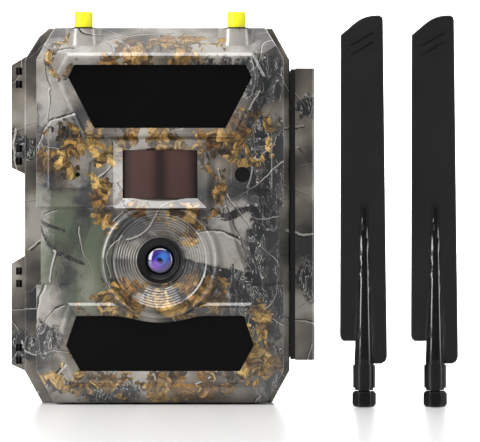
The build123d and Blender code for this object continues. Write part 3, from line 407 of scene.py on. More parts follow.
def make_camouflage():
    """The forest print of the case's film: blurred woods, bark, branches, twigs and oak leaves."""
    g, _, out = shader_group("Camouflage", [], [("Colour", "colour")])
    flat = g.group("Wrap")["Print"]
    _, wobble = g.noise(flat, 1.1, 3.0, 0.6, dimensions="2D")
    shifted = g.push(flat, wobble, 0.55)
    ragged_value, ragged = g.noise(flat, 3.2, 4.0, 0.65, dimensions="2D")
    rough = g.push(flat, ragged, 1.0)
    thin = g.push(flat, wobble, 0.25)

    def patches(spots, place, softness):
        """Where a print point lies in any of these soft-edged spots."""
        total = None
        for x, z, half_x, half_z in spots:
            rel = g.vector("MULTIPLY", g.vector("SUBTRACT", place, (x, z, 0.0)), (1 / half_x, 1 / half_z, 0.0))
            one = g.span(g.vector("LENGTH", rel), 1.0 + softness, 1.0 - softness)
            total = one if total is None else g.math("MAXIMUM", total, one)
        return total

    # blurred woods
    broad, _ = g.noise(shifted, 0.42, 2.0, 0.5, dimensions="2D")
    colour = g.ramp(
        broad, ((0.32, srgb("#2c2c2d")), (0.43, srgb("#5b564f")), (0.54, srgb("#857d72")), (0.66, srgb("#b4afa6"))),
    )
    colour = g.mix(g.math("MULTIPLY", patches(SHADE_PATCHES, rough, 0.55), 0.9), colour, srgb("#2a2c33"))
    # Pale print, and a painted highlight down the left chamfer.
    colour = g.mix(g.math("MULTIPLY", patches(PALE_PRINT_AND_HIGHLIGHT_PATCHES, rough, 0.6), 0.75), colour, srgb("#c3bfb8"))
    colour = g.mix(g.math("MULTIPLY", patches(GREEN_PATCHES, rough, 0.6), 0.6), colour, srgb("#6f7c62"))
    # bark, in long ragged streaks
    x, z, _ = g.split(thin)
    streak, _ = g.noise(g.join(g.math("MULTIPLY", x, 2.0), g.math("MULTIPLY", z, 0.8)), 1.4, 3.0, 0.6, 1.4, "2D")
    bark = g.ramp(
        streak,
        ((0.30, srgb("#0b0d0e")), (0.43, srgb("#2b3134")), (0.54, srgb("#08090a")), (0.56, srgb("#e6e2dc")),
         (0.585, srgb("#101314")),
         (0.64, srgb("#3a4043")), (0.72, srgb("#6d6b67"))),
    )
    colour = g.mix(patches(BARK_PATCHES, rough, 0.18), colour, bark)
    # placed and scattered branches
    wood, light = 0.0, 0.0
    for points, width in BRANCHES:
        for start, end in zip(points, points[1:]):
            run = g.group(
                "Branch", Print=thin, From=(*start, 0.0), To=(*end, 0.0), Width=width, Taper=0.25, Wood_so_far=wood,
                Light_so_far=light,
            )
            wood, light = run["Wood"], run["Light"]
    for aside, density, length, width in (((0.0, 0.0, 0.0), 0.36, 3.2, 0.075), ((7.3, 3.1, 0.0), 0.5, 2.2, 0.05)):
        twigs = g.group("Twig layer", Print=g.vector("ADD", thin, aside), Density=density, Length=length, Width=width)
        wood = g.math("MAXIMUM", wood, twigs["Wood"])
        light = g.math("MAXIMUM", light, twigs["Light"])
    colour = g.mix(g.math("MULTIPLY", wood, 0.95), colour, g.mix(0.6, bark, srgb("#0e1112")))
    colour = g.mix(g.math("MULTIPLY", light, 0.85), colour, srgb("#ded8cf"))
    # leaves, in four layers that lie over each other
    clump = g.span(g.channels(wobble)[2], 0.40, 0.50)
    region = g.span(g.math("MULTIPLY", patches(LEAF_PATCHES, rough, 0.5), clump), 0.35, 0.5)
    litter = g.mix(g.span(ragged_value, 0.40, 0.62), srgb("#15110c"), srgb("#5a4426"))
    colour = g.mix(g.math("MULTIPLY", g.span(region, 0.0, 0.9), g.span(streak, 0.62, 0.50)), colour, litter)
    shades = {"Light": srgb("#f2c873"), "Middle": srgb("#b5803a"), "Dark": srgb("#372612")}
    for aside, density, length in (
        ((0.0, 0.0, 0.0), 0.55, 2.1), ((3.7, 9.2, 0.0), 0.6, 1.9), ((8.1, 4.4, 0.0), 0.5, 2.3),
        ((5.2, 6.1, 0.0), 0.75, 1.5),
    ):
        leaves = g.group("Leaf layer", Print=g.vector("ADD", thin, aside), Density=density, Length=length, **shades)
        colour = g.mix(g.math("MULTIPLY", leaves["Mask"], region), colour, leaves["Colour"])
    # fine tooth of the print
    grain, _ = g.noise(flat, 22.0, 2.0, 0.6, dimensions="2D")
    colour = g.shade(colour, g.math("MULTIPLY_ADD", grain, 0.7, 0.62))
    g.feed(out["Colour"], colour)


SHARED_GROUPS = (make_moulded_grain, make_wrap, make_leaf_layer, make_twig_layer, make_branch, make_camouflage)


# ---- finishes ------------------------------------------------------------------------------------
def moulded(name, colour, roughness=0.5, grain=2500.0, depth=0.12, change=0.25, **sockets):
    material, g, shader = finish(name, roughness, colour=colour, **sockets)
    got = g.group(
        "Moulded grain", Colour=colour, Shade_change=change, Roughness=roughness, Grain_size=grain, Depth=depth,
    )
    g.feed(shader.inputs["Base Color"], got["Colour"])
    g.feed(shader.inputs["Roughness"], got["Roughness"])
    g.feed(shader.inputs["Normal"], got["Normal"])
    return material


def metal(name, colour, roughness=0.3, scratch=900.0):
    material, g, shader = finish(name, roughness, 1.0, colour)
    place = object_coordinates(g)
    line, _ = g.noise(g.vector("MULTIPLY", place, (1.0, 1.0, 0.08)), scratch, 3.0, 0.6)
    g.feed(shader.inputs["Roughness"], g.math("MULTIPLY_ADD", line, 0.3, roughness - 0.12))
    g.feed(shader.inputs["Base Color"], g.mix(line, tuple(c * 0.7 for c in colour[:3]) + (1,), colour))
    return material


def film_finish():
    """The printed film on the case, under lacquer."""
    film = bpy.context.scene.case_film
    material, g, shader = finish("camouflage film", film.roughness, Coat_Weight=film.lacquer, Coat_Roughness=0.10)
    got = g.group("Camouflage")
    g.feed(shader.inputs["Base Color"], g.vector("SCALE", got["Colour"], scale=film.brightness))
    place = object_coordinates(g)
    peel, _ = g.noise(place, 420.0, 2.0)
    g.feed(shader.inputs["Normal"], g.bump(peel, 0.10, 0.4 * MM))
    g.feed(shader.inputs["Roughness"], g.math("MULTIPLY_ADD", peel, 0.16, film.roughness - 0.08))
    return material


def pane_finish():
    """Black acrylic that passes infrared, faintly cloudy."""
    material, g, shader = finish("infrared pane", 0.3, colour=(0.004, 0.004, 0.0045, 1), Specular_IOR_Level=0.12)
    place = object_coordinates(g)
    cloud, _ = g.noise(place, 35.0, 2.0)
    g.feed(shader.inputs["Base Color"], g.mix(cloud, (0.001, 0.001, 0.0011, 1), (0.003, 0.003, 0.0032, 1)))
    g.feed(shader.inputs["Roughness"], g.math("MULTIPLY_ADD", cloud, 0.1, 0.25))
    return material


def pir_finish():
    """The brown motion window: painted shade down its middle and edges, painted highlight bands between them, painted
    shade towards its bottom, and the fine grid of its lens inside.
    """
    material, g, shader = finish("motion window", 0.28, Coat_Weight=0.3, Coat_Roughness=0.08)
    x, y, z = g.split(object_coordinates(g))
    half = (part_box("pir_window")[1].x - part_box("pir_window")[0].x) / 2
    across = g.math("ABSOLUTE", g.math("DIVIDE", x, half))
    # Painted highlight bands a quarter of the way in from each side, painted shade at the middle and at the edges.
    band = g.math("SINE", g.math("MULTIPLY", across, math.pi))
    dark, lit = srgb("#231514"), srgb("#4a322d")
    colour = g.mix(g.span(band, 0.05, 0.95), dark, lit)
    # Painted shade towards the bottom of the window.
    colour = g.mix(g.span(z, PIR_Z + 0.009, PIR_Z - 0.004), colour, g.vector("SCALE", colour, scale=0.82))
    g.feed(shader.inputs["Base Color"], colour)
    lines = g.math("ABSOLUTE", g.math("SINE", g.math("MULTIPLY", x, math.pi / 0.0035)))
    rows = g.math("ABSOLUTE", g.math("SINE", g.math("MULTIPLY", z, math.pi / 0.006)))
    facets = g.math("MINIMUM", g.span(lines, 0.0, 0.12), g.span(rows, 0.0, 0.08))
    g.feed(shader.inputs["Normal"], g.bump(facets, 0.12, 0.2 * MM))
    return material


def lens_finish():
    """The coated front element: a dark pupil in blue and violet rings of coating tint and painted highlight, with
    painted blue and violet glints beside it.
    """
    material, g, shader = finish("coated lens", 0.04, Coat_Weight=1.0, Coat_Roughness=0.02)
    x, _, z = g.split(object_coordinates(g))
    dx, dz = g.math("SUBTRACT", x, LENS_X), g.math("SUBTRACT", z, LENS_Z)
    radius = g.vector("LENGTH", g.join(dx, dz))
    # The rings: the coating's tint, with a painted highlight ring in blue round the pupil.
    rings = g.ramp(
        g.math("DIVIDE", radius, 0.0054),
        ((0.0, srgb("#0a0a1e")), (0.18, srgb("#101238")), (0.32, srgb("#3446a4")), (0.48, srgb("#25246c")),
         (0.62, srgb("#4c2f90")), (0.78, srgb("#181338")), (1.0, srgb("#05050a"))),
    )
    # Painted coating glints: a blue one up and to the right of the middle, a violet one down and to the left.
    blue_glint_offset = g.join(g.math("SUBTRACT", dx, 0.0016), g.math("SUBTRACT", dz, 0.0014))
    violet_glint_offset = g.join(g.math("ADD", dx, 0.0014), g.math("ADD", dz, 0.0016))
    blue = g.span(g.vector("LENGTH", blue_glint_offset), 0.0032, 0.0004)
    violet = g.span(g.vector("LENGTH", violet_glint_offset), 0.0030, 0.0004)
    colour = g.mix(g.math("MULTIPLY", blue, 0.6), rings, srgb("#4a8fe0"))
    colour = g.mix(g.math("MULTIPLY", violet, 0.55), colour, srgb("#8b3fc8"))
    pupil = g.span(radius, 0.0012, 0.0006)
    g.feed(shader.inputs["Base Color"], g.mix(pupil, colour, srgb("#0c0c24")))
    return material


def barrel_finish():
    """Black with fine turned grooves against glare."""
    material, g, shader = finish("lens barrel", 0.32, colour=(0.006, 0.006, 0.0065, 1), Specular_IOR_Level=0.25)
    x, _, z = g.split(object_coordinates(g))
    radius = g.vector("LENGTH", g.join(g.math("SUBTRACT", x, LENS_X), g.math("SUBTRACT", z, LENS_Z)))
    groove = g.math("SINE", g.math("MULTIPLY", radius, math.tau / 0.0005))
    g.feed(shader.inputs["Normal"], g.bump(groove, 0.35, 0.1 * MM))
    outer = g.span(radius, 0.0060, 0.0078)
    g.feed(shader.inputs["Base Color"], g.mix(outer, (0.002, 0.002, 0.0022, 1), (0.006, 0.006, 0.006, 1)))
    return material


def board_finish(name, mask_colour):
    """A circuit board: solder mask with fine copper tracks under it."""
    material, g, shader = finish(name, 0.35, colour=mask_colour, Coat_Weight=0.3)
    x, _, z = g.split(object_coordinates(g))
    flat = g.join(g.math("MULTIPLY", x, 1.0), g.math("MULTIPLY", z, 1.0))
    tracks = g.node("ShaderNodeTexVoronoi", voronoi_dimensions="2D", distance="CHEBYCHEV", feature="DISTANCE_TO_EDGE")
    g.feed(tracks.inputs["Vector"], flat)
    tracks.inputs["Scale"].default_value = 260.0
    track = g.span(tracks.outputs["Distance"], 0.10, 0.05)
    lit = tuple(min(1.0, c * 2.2 + 0.01) for c in mask_colour[:3]) + (1,)
    g.feed(shader.inputs["Base Color"], g.mix(g.math("MULTIPLY", track, 0.6), mask_colour, lit))
    return material


def antenna_finish(colour):
    """Fine matte texture on the blade, and a polished stem and collar."""
    material, g, shader = finish("antenna black", 0.45, colour=colour, Specular_IOR_Level=0.3, Coat_Roughness=0.06)
    got = g.group("Moulded grain", Colour=colour, Shade_change=0.15, Roughness=0.45, Grain_size=3000.0, Depth=0.15)
    x, _, z = g.split(object_coordinates(g))
    nuts = [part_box(f"antenna_nut_{side}") for side in ("left", "right")]
    left, right = (g.math("ABSOLUTE", g.math("SUBTRACT", x, (low.x + high.x) / 2)) for low, high in nuts)
    width = g.math("MULTIPLY_ADD", z, -0.05, 0.0052)
    stem = g.math("MULTIPLY", g.math("LESS_THAN", g.math("MINIMUM", left, right), width), g.span(z, 0.078, 0.072))
    g.feed(shader.inputs["Base Color"], got["Colour"])
    g.feed(shader.inputs["Roughness"], g.math("MULTIPLY_ADD", stem, -0.30, got["Roughness"], clamp=True))
    g.feed(shader.inputs["Coat Weight"], g.math("MULTIPLY", stem, g.span(z, 0.014, 0.032)))
    g.feed(shader.inputs["Normal"], got["Normal"])
    return material


def screen_finish():
    """Dark glass: a black border round a grey-green panel with its fine dots and a status line."""
    material, g, shader = finish("display glass", 0.08, colour=srgb("#10181c"), Coat_Weight=1.0)
    low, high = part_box("display")
    x, _, z = g.split(object_coordinates(g))
    aside = g.math("ABSOLUTE", g.math("SUBTRACT", x, (low.x + high.x) / 2))
    above = g.math("ABSOLUTE", g.math("SUBTRACT", z, (low.z + high.z) / 2))
    half_x, half_z = (high.x - low.x) / 2 - 0.0026, (high.z - low.z) / 2 - 0.0026
    panel = g.math("MULTIPLY", g.math("LESS_THAN", aside, half_x), g.math("LESS_THAN", above, half_z))
    columns, rows = (g.math("SINE", g.math("MULTIPLY", along, 9000.0)) for along in (x, z))
    dots = g.math("MULTIPLY", columns, rows)
    colour = g.mix(g.span(dots, 0.2, 0.6), srgb("#28302d"), srgb("#323c38"))
    colour = g.mix(g.math("GREATER_THAN", z, high.z - 0.0062), colour, srgb("#1a2220"))
    g.feed(shader.inputs["Base Color"], g.mix(panel, srgb("#060708"), colour))
    return material


def card_finish():
    """A memory card: dark body, a blue label and a row of gilt contacts at its inner end."""
    material, g, shader = finish("card body", 0.4, colour=srgb("#15181f"))
    low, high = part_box("sd_card")
    x, y, z = g.split(object_coordinates(g))
    across = g.math("ABSOLUTE", g.math("SUBTRACT", z, (low.z + high.z) / 2))
    label = g.math("MULTIPLY", g.math("LESS_THAN", across, 0.0095), g.math("LESS_THAN", x, high.x - 0.009))
    label = g.math("MULTIPLY", label, g.math("GREATER_THAN", x, low.x + 0.002))
    rows = g.math("GREATER_THAN", g.math("SINE", g.math("MULTIPLY", z, math.tau / 0.0026)), -0.3)
    end = g.math("MULTIPLY", g.math("GREATER_THAN", x, high.x - 0.0055), g.math("LESS_THAN", x, high.x - 0.001))
    contact = g.math("MULTIPLY", g.math("MULTIPLY", rows, end), g.math("GREATER_THAN", y, high.y - 0.0001))
    colour = g.mix(label, srgb("#15181f"), srgb("#27446f"))
    g.feed(shader.inputs["Base Color"], g.mix(contact, colour, srgb("#d0a64c")))
    g.feed(shader.inputs["Metallic"], contact)
    return material


def cell_finish():
    """A wrapped cell: dark sleeve, a coloured band and a bare metal end."""
    material, g, shader = finish("cell sleeve", 0.3, colour=(0.03, 0.03, 0.035, 1), Coat_Weight=0.4)
    _, _, z = g.split(object_coordinates(g))
    low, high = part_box("cell_1")[0].z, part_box("cell_8")[1].z
    middle = (low + high) / 2
    out = g.math("ABSOLUTE", g.math("SUBTRACT", z, middle))
    nub = g.math("LESS_THAN", out, 0.0029)
    band = g.math("MULTIPLY", g.math("GREATER_THAN", out, 0.0029), g.math("LESS_THAN", out, 0.015))
    colour = g.mix(band, (0.02, 0.022, 0.026, 1), srgb("#b97a2c"))
    g.feed(shader.inputs["Base Color"], g.mix(nub, colour, (0.7, 0.7, 0.68, 1)))
    g.feed(shader.inputs["Metallic"], nub)
    return material


# ---- small geometry ------------------------------------------------------------------------------
def link(name, mesh):
    made = bpy.data.objects.new(name, mesh)
    bpy.context.scene.collection.objects.link(made)
    return made


def settle(made, body, slot, *materials):
    """Puts a finished piece on its body, with its finish. slot is not used."""
    for material in materials:
        made.data.materials.append(material)
    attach(made, body)
    return made


def printed_mark(name, outlines, y, outwards):
    """Thin raised shapes, each from a list of (x, z), on a face that looks along Y. outwards is its side, +1 or -1."""
    shape = bmesh.new()
    near, far = y - 0.00003 * outwards, y + 0.00008 * outwards
    for outline in outlines:
        rings = [[shape.verts.new((x, level, z)) for x, z in outline] for level in (near, far)]
        for ring in rings:
            shape.faces.new(ring)
        for i in range(len(outline)):
            j = (i + 1) % len(outline)
            shape.faces.new((rings[0][i], rings[0][j], rings[1][j], rings[1][i]))
    bmesh.ops.recalc_face_normals(shape, faces=shape.faces[:])
    mesh = bpy.data.meshes.new(name)
    shape.to_mesh(mesh)
    shape.free()
    return link(name, mesh)


def baked(name, tree, settings):
    """Runs a Geometry Nodes tree with these named inputs and returns its plain mesh as an object."""
    holder = link(name, bpy.data.meshes.new(name))
    modifier = holder.modifiers.new("shape", "NODES")
    modifier.node_group = tree
    for item in tree.interface.items_tree:
        if item.in_out == "INPUT" and item.name in settings:
            modifier[item.identifier] = settings[item.name]
    graph = bpy.context.evaluated_depsgraph_get()
    mesh = bpy.data.meshes.new_from_object(holder.evaluated_get(graph))
    holder.modifiers.remove(modifier)
    holder.data = mesh
    mesh.name = name
    return holder


def geometry_tree(name, **inputs):
    """A Geometry Nodes tree with these named inputs and a Material. Returns it with its input node's sockets."""
    tree = bpy.data.node_groups.new(name, "GeometryNodeTree")
    tree.interface.new_socket("Geometry", in_out="INPUT", socket_type="NodeSocketGeometry")
    for label, (kind, default) in inputs.items():
        socket = tree.interface.new_socket(label, in_out="INPUT", socket_type=f"NodeSocket{kind}")
        socket.default_value = default
    tree.interface.new_socket("Material", in_out="INPUT", socket_type="NodeSocketMaterial")
    tree.interface.new_socket("Geometry", in_out="OUTPUT", socket_type="NodeSocketGeometry")
    return tree, tree.nodes.new("NodeGroupInput").outputs


def close_tree(tree, given, instances):
    """Ends a tree in Realize Instances and Set Material."""
    real = tree.nodes.new("GeometryNodeRealizeInstances")
    tree.links.new(instances, real.inputs["Geometry"])
    paint = tree.nodes.new("GeometryNodeSetMaterial")
    tree.links.new(real.outputs["Geometry"], paint.inputs["Geometry"])
    tree.links.new(given["Material"], paint.inputs["Material"])
    tree.links.new(paint.outputs["Geometry"], tree.nodes.new("NodeGroupOutput").inputs["Geometry"])
    return tree


def ring_of_ribs_tree():
    """Short ribs standing round an upright axis."""
    tree, given = geometry_tree(
        "Ring of ribs", Count=("Int", 36), Radius=("Float", 0.0043), Height=("Float", 0.004), Width=("Float", 0.0004),
        Centre=("Vector", (0, 0, 0)),
    )
    nodes, links = tree.nodes, tree.links
    circle = nodes.new("GeometryNodeMeshCircle")
    links.new(given["Count"], circle.inputs["Vertices"])
    links.new(given["Radius"], circle.inputs["Radius"])
    rib = nodes.new("GeometryNodeMeshCylinder")
    rib.inputs["Vertices"].default_value = 6
    links.new(given["Width"], rib.inputs["Radius"])
    links.new(given["Height"], rib.inputs["Depth"])
    spread = nodes.new("GeometryNodeInstanceOnPoints")
    links.new(circle.outputs["Mesh"], spread.inputs["Points"])
    links.new(rib.outputs["Mesh"], spread.inputs["Instance"])
    place = nodes.new("GeometryNodeTransform")
    links.new(spread.outputs["Instances"], place.inputs["Geometry"])
    links.new(given["Centre"], place.inputs["Translation"])
    return close_tree(tree, given, place.outputs["Geometry"])


def thread_rings_tree():
    """Rounded turns of a thread stacked along an upright axis."""
    tree, given = geometry_tree(
        "Thread turns", Turns=("Int", 6), Radius=("Float", 0.003), Pitch=("Float", 0.0007), Crest=("Float", 0.0001),
        Start=("Vector", (0, 0, 0)),
    )
    nodes, links = tree.nodes, tree.links
    step = nodes.new("ShaderNodeCombineXYZ")
    links.new(given["Pitch"], step.inputs["Z"])
    line = nodes.new("GeometryNodeMeshLine")
    links.new(given["Turns"], line.inputs["Count"])
    links.new(given["Start"], line.inputs["Start Location"])
    links.new(step.outputs[0], line.inputs["Offset"])
    path = nodes.new("GeometryNodeCurvePrimitiveCircle")
    links.new(given["Radius"], path.inputs["Radius"])
    path.inputs["Resolution"].default_value = 40
    section = nodes.new("GeometryNodeCurvePrimitiveCircle")
    links.new(given["Crest"], section.inputs["Radius"])
    section.inputs["Resolution"].default_value = 6
    turn = nodes.new("GeometryNodeCurveToMesh")
    links.new(path.outputs["Curve"], turn.inputs["Curve"])
    links.new(section.outputs["Curve"], turn.inputs["Profile Curve"])
    spread = nodes.new("GeometryNodeInstanceOnPoints")
    links.new(line.outputs["Mesh"], spread.inputs["Points"])
    links.new(turn.outputs["Mesh"], spread.inputs["Instance"])
    return close_tree(tree, given, spread.outputs["Instances"])


# ---- what a user would change --------------------------------------------------------------------
class CaseFilm(bpy.types.PropertyGroup):
    brightness: bpy.props.FloatProperty(
        name="Print brightness", description="How light the print is", default=0.74, min=0.2, max=2.0)
    roughness: bpy.props.FloatProperty(
        name="Film roughness", description="Roughness under the lacquer", default=0.38, subtype="FACTOR")
    lacquer: bpy.props.FloatProperty(
        name="Lacquer", description="Strength of the clear coat", default=1.0, subtype="FACTOR")


class Trim(bpy.types.PropertyGroup):
    cap: bpy.props.FloatVectorProperty(
        name="Cap colour", description="Colour of the dust caps", subtype="COLOR", size=4, default=srgb("#f4f01c"))
    black: bpy.props.FloatVectorProperty(
        name="Antenna black", description="Colour of the antennas", subtype="COLOR", size=4, default=srgb("#111112"))
    knurl: bpy.props.IntProperty(name="Knurl ribs", description="Ribs round a coupling nut", default=40, min=8, max=120)


class Studio(bpy.types.PropertyGroup):
    distance: bpy.props.FloatProperty(
        name="Camera distance", description="From the front of the flange to the camera", default=2.5, unit="LENGTH")
    eye: bpy.props.FloatProperty(
        name="Camera height", description="Height of the camera over the floor", default=0.09, unit="LENGTH")
    floor: bpy.props.FloatVectorProperty(
        name="Floor colour", description="Colour of floor and background", subtype="COLOR", size=4,
        default=(0.92, 0.92, 0.92, 1))


# ---- operators -----------------------------------------------------------------------------------
class TRAILCAM_OT_groups(bpy.types.Operator):
    """Build the shader groups that the finishes share"""

    bl_idname = "trailcam.groups"
    bl_label = "Shared shader groups"

    def execute(self, context):
        for make in SHARED_GROUPS:
            make()
        return {"FINISHED"}


class TRAILCAM_OT_case(bpy.types.Operator):
    """Put the printed film on both halves of the case and on the latch"""

    bl_idname = "trailcam.case"
    bl_label = "Case and latch"

    def execute(self, context):
        wear(film_finish(), "front_cover", "rear_housing", "latch_lever")
        wear(moulded("latch trim", srgb("#0b0b0c"), 0.45), "latch_hook")
        wear(moulded("silicone seal", srgb("#17181a"), 0.6, 900.0), "gasket")
        wear(metal("pin steel", srgb("#6d6b68"), 0.35), "hinge_pin_lower", "hinge_pin_upper", "latch_pin")
        return {"FINISHED"}


class TRAILCAM_OT_optics(bpy.types.Operator):
    """Finish the lens, the lamp panes, the motion window and the light sensor"""

    bl_idname = "trailcam.optics"
    bl_label = "Optics"

    def execute(self, context):
        wear(pane_finish(), "upper_pane", "lower_pane")
        wear(pir_finish(), "pir_window")
        wear(barrel_finish(), "lens_barrel")
        wear(lens_finish(), "lens_glass")
        wear(moulded("sensor window", srgb("#08080a"), 0.2, 400.0, 0.02), "light_window")
        wear(metal("sensor can", srgb("#b8b5ae"), 0.3), "pir_sensor")
        return {"FINISHED"}


class TRAILCAM_OT_ports(bpy.types.Operator):
    """Finish the antenna ports with their washers, threads and caps"""

    bl_idname = "trailcam.ports"
    bl_label = "Antenna ports"

    def execute(self, context):
        brass = metal("gilt brass", srgb("#c9a24a"), 0.28)
        wear(brass, "antenna_port_left", "antenna_port_right")
        tree = thread_rings_tree()
        for side in ("left", "right"):
            low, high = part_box(f"antenna_port_{side}")
            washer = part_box(f"port_washer_{side}")[1].z
            start = ((low.x + high.x) / 2, (low.y + high.y) / 2, washer + 0.0004)
            turns = baked(
                f"port_thread_{side}", tree,
                {"Turns": 6, "Radius": PORT_RADIUS - 0.00003, "Pitch": 0.0007, "Crest": 0.00008, "Start": start,
                 "Material": brass},
            )
            settle(turns, "cover", "brass")
        wear(metal("black washer", srgb("#1c1c1e"), 0.4), "port_washer_left", "port_washer_right")
        vinyl = moulded("yellow vinyl", tuple(context.scene.trim.cap), 0.42, 1500.0, 0.05, 0.08)
        wear(vinyl, "dust_cap_left", "dust_cap_right")
        return {"FINISHED"}


class TRAILCAM_OT_controls(bpy.types.Operator):
    """Finish the inner panel with its display, buttons, switch and card"""

    bl_idname = "trailcam.controls"
    bl_label = "Inner controls"

    def execute(self, context):
        wear(moulded("inner moulding", srgb("#232426"), 0.55), "inner_panel", "battery_liner", "battery_door")
        wear(moulded("button rubber", srgb("#3a3b3d"), 0.65, 1200.0), *BUTTON_NODES, "power_switch")
        wear(card_finish(), "sd_card")
        wear(metal("screw steel", srgb("#8f8d88"), 0.3), *SCREW_NODES)
        wear(screen_finish(), "display")
        ink = moulded("printed white", srgb("#cfd0cc"), 0.5, 2000.0, 0.02, 0.1)
        arrow = ((0.0, 1.5), (-1.3, -0.9), (1.3, -0.9))
        disc = [(1.1 * math.cos(i * math.tau / 20), 1.1 * math.sin(i * math.tau / 20)) for i in range(20)]
        bars = [[(-1.7, h - 0.25), (1.7, h - 0.25), (1.7, h + 0.25), (-1.7, h + 0.25)] for h in (-1.1, 0.0, 1.1)]
        marks = {
            "up_button": [arrow], "down_button": [[(-x, -z) for x, z in arrow]],
            "left_button": [[(-z, x) for x, z in arrow]], "right_button": [[(z, -x) for x, z in arrow]],
            "ok_button": [disc], "menu_button": bars,
        }
        for node, outlines in marks.items():
            low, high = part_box(node)
            x0, z0 = (low.x + high.x) / 2, (low.z + high.z) / 2
            placed = [[(x0 + x * MM, z0 + z * MM) for x, z in outline] for outline in outlines]
            settle(printed_mark(f"{node}_mark", placed, high.y, 1), node, "button", ink)
        low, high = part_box("battery_door")
        x0, z0 = (low.x + high.x) / 2, 0.098
        placed = [[(x0 + x * 3 * MM, z0 + z * 3 * MM) for x, z in arrow]]
        settle(printed_mark("door_arrow", placed, low.y, -1), "door", "shell_inside", ink)
        return {"FINISHED"}


class TRAILCAM_OT_electronics(bpy.types.Operator):
    """Finish the circuit boards"""

    bl_idname = "trailcam.electronics"
    bl_label = "Circuit boards"

    def execute(self, context):
        wear(board_finish("green board", (0.008, 0.06, 0.02, 1)), "main_board", "camera_module")
        wear(board_finish("lamp board", (0.01, 0.01, 0.012, 1)), "upper_led_board", "lower_led_board")
        return {"FINISHED"}


class TRAILCAM_OT_power(bpy.types.Operator):
    """Finish the cells, contacts, jack and plug"""

    bl_idname = "trailcam.power"
    bl_label = "Power"

    def execute(self, context):
        wear(cell_finish(), *CELL_NODES)
        wear(metal("nickel strip", srgb("#bdb8ab"), 0.25), "spring_strip_lower", "spring_strip_upper", "centre_contact")
        wear(moulded("jack moulding", srgb("#101010"), 0.4), "power_jack")
        wear(moulded("plug rubber", srgb("#161616"), 0.7, 900.0), "power_plug")
        return {"FINISHED"}


class TRAILCAM_OT_bracket(bpy.types.Operator):
    """Finish the strap bracket and the tripod insert"""

    bl_idname = "trailcam.bracket"
    bl_label = "Strap bracket"

    def execute(self, context):
        wear(moulded("bracket moulding", srgb("#2d2d2a"), 0.6, 1800.0, 0.2), "strap_bracket")
        wear(metal("insert brass", srgb("#b98f3e"), 0.3), "tripod_insert")
        return {"FINISHED"}


class TRAILCAM_OT_antennas(bpy.types.Operator):
    """Finish the two blade antennas and knurl their nuts"""

    bl_idname = "trailcam.antennas"
    bl_label = "Antennas"

    def execute(self, context):
        wear(antenna_finish(tuple(context.scene.trim.black)), "antenna_left", "antenna_right")
        gloss = moulded("nut black", srgb("#080809"), 0.22, 3000.0, 0.03, Specular_IOR_Level=0.3)
        wear(gloss, "antenna_nut_left", "antenna_nut_right")
        tree = ring_of_ribs_tree()
        for side, key in (("left", "a"), ("right", "b")):
            low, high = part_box(f"antenna_nut_{side}")
            centre = (low + high) / 2
            ribs = baked(
                f"nut_knurl_{side}", tree,
                {"Count": context.scene.trim.knurl, "Radius": (high.x - low.x) / 2 - 0.00002, "Height": 0.0042,
                 "Width": 0.00022, "Centre": tuple(centre), "Material": gloss},
            )
            settle(ribs, f"nut_{key}", "antenna_nut")
        return {"FINISHED"}


def area_light(name, place, aim, size, power, tint=(1, 1, 1)):
    data = bpy.data.lights.new(name, "AREA")
    data.shape, data.size, data.size_y = "RECTANGLE", size[0], size[1]
    data.energy, data.color = power, tint
    lamp = bpy.data.objects.new(name, data)
    lamp.location = place
    lamp.rotation_euler = (Vector(aim) - Vector(place)).to_track_quat("-Z", "Y").to_euler()
    bpy.context.scene.collection.objects.link(lamp)
    return lamp


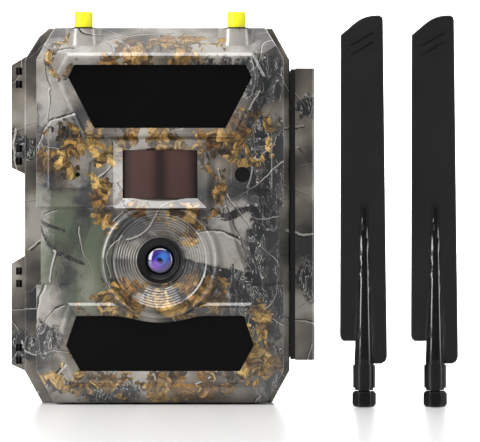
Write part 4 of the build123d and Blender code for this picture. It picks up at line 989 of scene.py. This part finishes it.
class TRAILCAM_OT_stage(bpy.types.Operator):
    """Set up the pale floor, the soft lights and the camera"""

    bl_idname = "trailcam.stage"
    bl_label = "Stage"

    def execute(self, context):
        studio = context.scene.studio
        mesh = bpy.data.meshes.new("floor")
        wide, near, far, bend, top = 8.0, -8.0, 7.0, 1.0, 6.0
        sweep = [(far + bend * math.sin(a), bend - bend * math.cos(a)) for a in (i * math.pi / 24 for i in range(13))]
        line = [(near, 0.0), *sweep, (far + bend, top)]
        corners = [(x, y, z) for y, z in line for x in (-wide, wide)]
        mesh.from_pydata(corners, [], [(2 * i, 2 * i + 1, 2 * i + 3, 2 * i + 2) for i in range(len(line) - 1)])
        floor = link("floor", mesh)
        material, _, _ = finish("floor", 0.24, colour=tuple(studio.floor))
        floor.data.materials.append(material)
        floor.location.z = -0.0002
        world = bpy.data.worlds.new("studio")
        context.scene.world = world
        world.use_nodes = True
        g = Graph(world.node_tree)
        _, ahead, _ = g.split(g.node("ShaderNodeTexCoord").outputs["Generated"])
        backdrop = world.node_tree.nodes["Background"]
        shades = ((0.0, (0.04, 0.04, 0.042)), (1.0, (1.0, 1.0, 1.0)))
        g.feed(backdrop.inputs[0], g.ramp(g.span(ahead, -0.1, 0.45), shades))
        backdrop.inputs[1].default_value = 1.05
        area_light("key", (-0.9, -0.7, 0.55), (0, 0, 0.07), (0.35, 1.0), 11)
        area_light("fill", (1.1, -0.55, 0.4), (0.03, 0, 0.07), (0.3, 0.9), 4.5)
        area_light("top", (0.0, -0.45, 1.1), (0, 0, 0.07), (1.2, 0.45), 11)
        area_light("backdrop near", (0.0, 2.7, 2.0), (0, 4.4, 0.0), (4.0, 0.8), 150)
        area_light("backdrop far", (0.0, 5.2, 3.2), (0, 8.0, 0.6), (8.0, 1.4), 600)
        data = bpy.data.cameras.new("camera")
        data.sensor_width = 36.0
        camera = bpy.data.objects.new("camera", data)
        bpy.context.scene.collection.objects.link(camera)
        camera.location = (0.0, AIM.y - studio.distance, studio.eye)
        camera.rotation_euler = (AIM - camera.location).to_track_quat("-Z", "Y").to_euler()
        data.lens = data.sensor_width * (AIM - camera.location).length / VIEW_WIDTH
        context.scene.camera = camera
        context.scene.view_settings.view_transform = "Standard"
        return {"FINISHED"}


OPERATORS = (
    TRAILCAM_OT_groups, TRAILCAM_OT_stage, TRAILCAM_OT_case, TRAILCAM_OT_optics, TRAILCAM_OT_ports,
    TRAILCAM_OT_controls, TRAILCAM_OT_electronics, TRAILCAM_OT_power, TRAILCAM_OT_bracket, TRAILCAM_OT_antennas,
)


class TRAILCAM_PT_finishes(bpy.types.Panel):
    """Lists every step and the values behind it"""

    bl_idname = "TRAILCAM_PT_finishes"
    bl_label = "Trail camera"
    bl_space_type = "VIEW_3D"
    bl_region_type = "UI"
    bl_category = "Trail camera"

    def draw(self, context):
        for settings in (context.scene.case_film, context.scene.trim, context.scene.studio):
            box = self.layout.box()
            for key in settings.bl_rna.properties.keys():
                if key not in ("rna_type", "name"):
                    box.prop(settings, key)
        for operator in OPERATORS:
            self.layout.operator(operator.bl_idname)


CLASSES = (CaseFilm, Trim, Studio, *OPERATORS, TRAILCAM_PT_finishes)


def register():
    for cls in CLASSES:
        bpy.utils.register_class(cls)
    bpy.types.Scene.case_film = bpy.props.PointerProperty(type=CaseFilm)
    bpy.types.Scene.trim = bpy.props.PointerProperty(type=Trim)
    bpy.types.Scene.studio = bpy.props.PointerProperty(type=Studio)


def unregister():
    for key in ("case_film", "trim", "studio"):
        delattr(bpy.types.Scene, key)
    for cls in reversed(CLASSES):
        bpy.utils.unregister_class(cls)


def main():
    register()
    for operator in OPERATORS:
        family, name = operator.bl_idname.split(".")
        getattr(getattr(bpy.ops, family), name)()


if __name__ == "__main__":
    main()
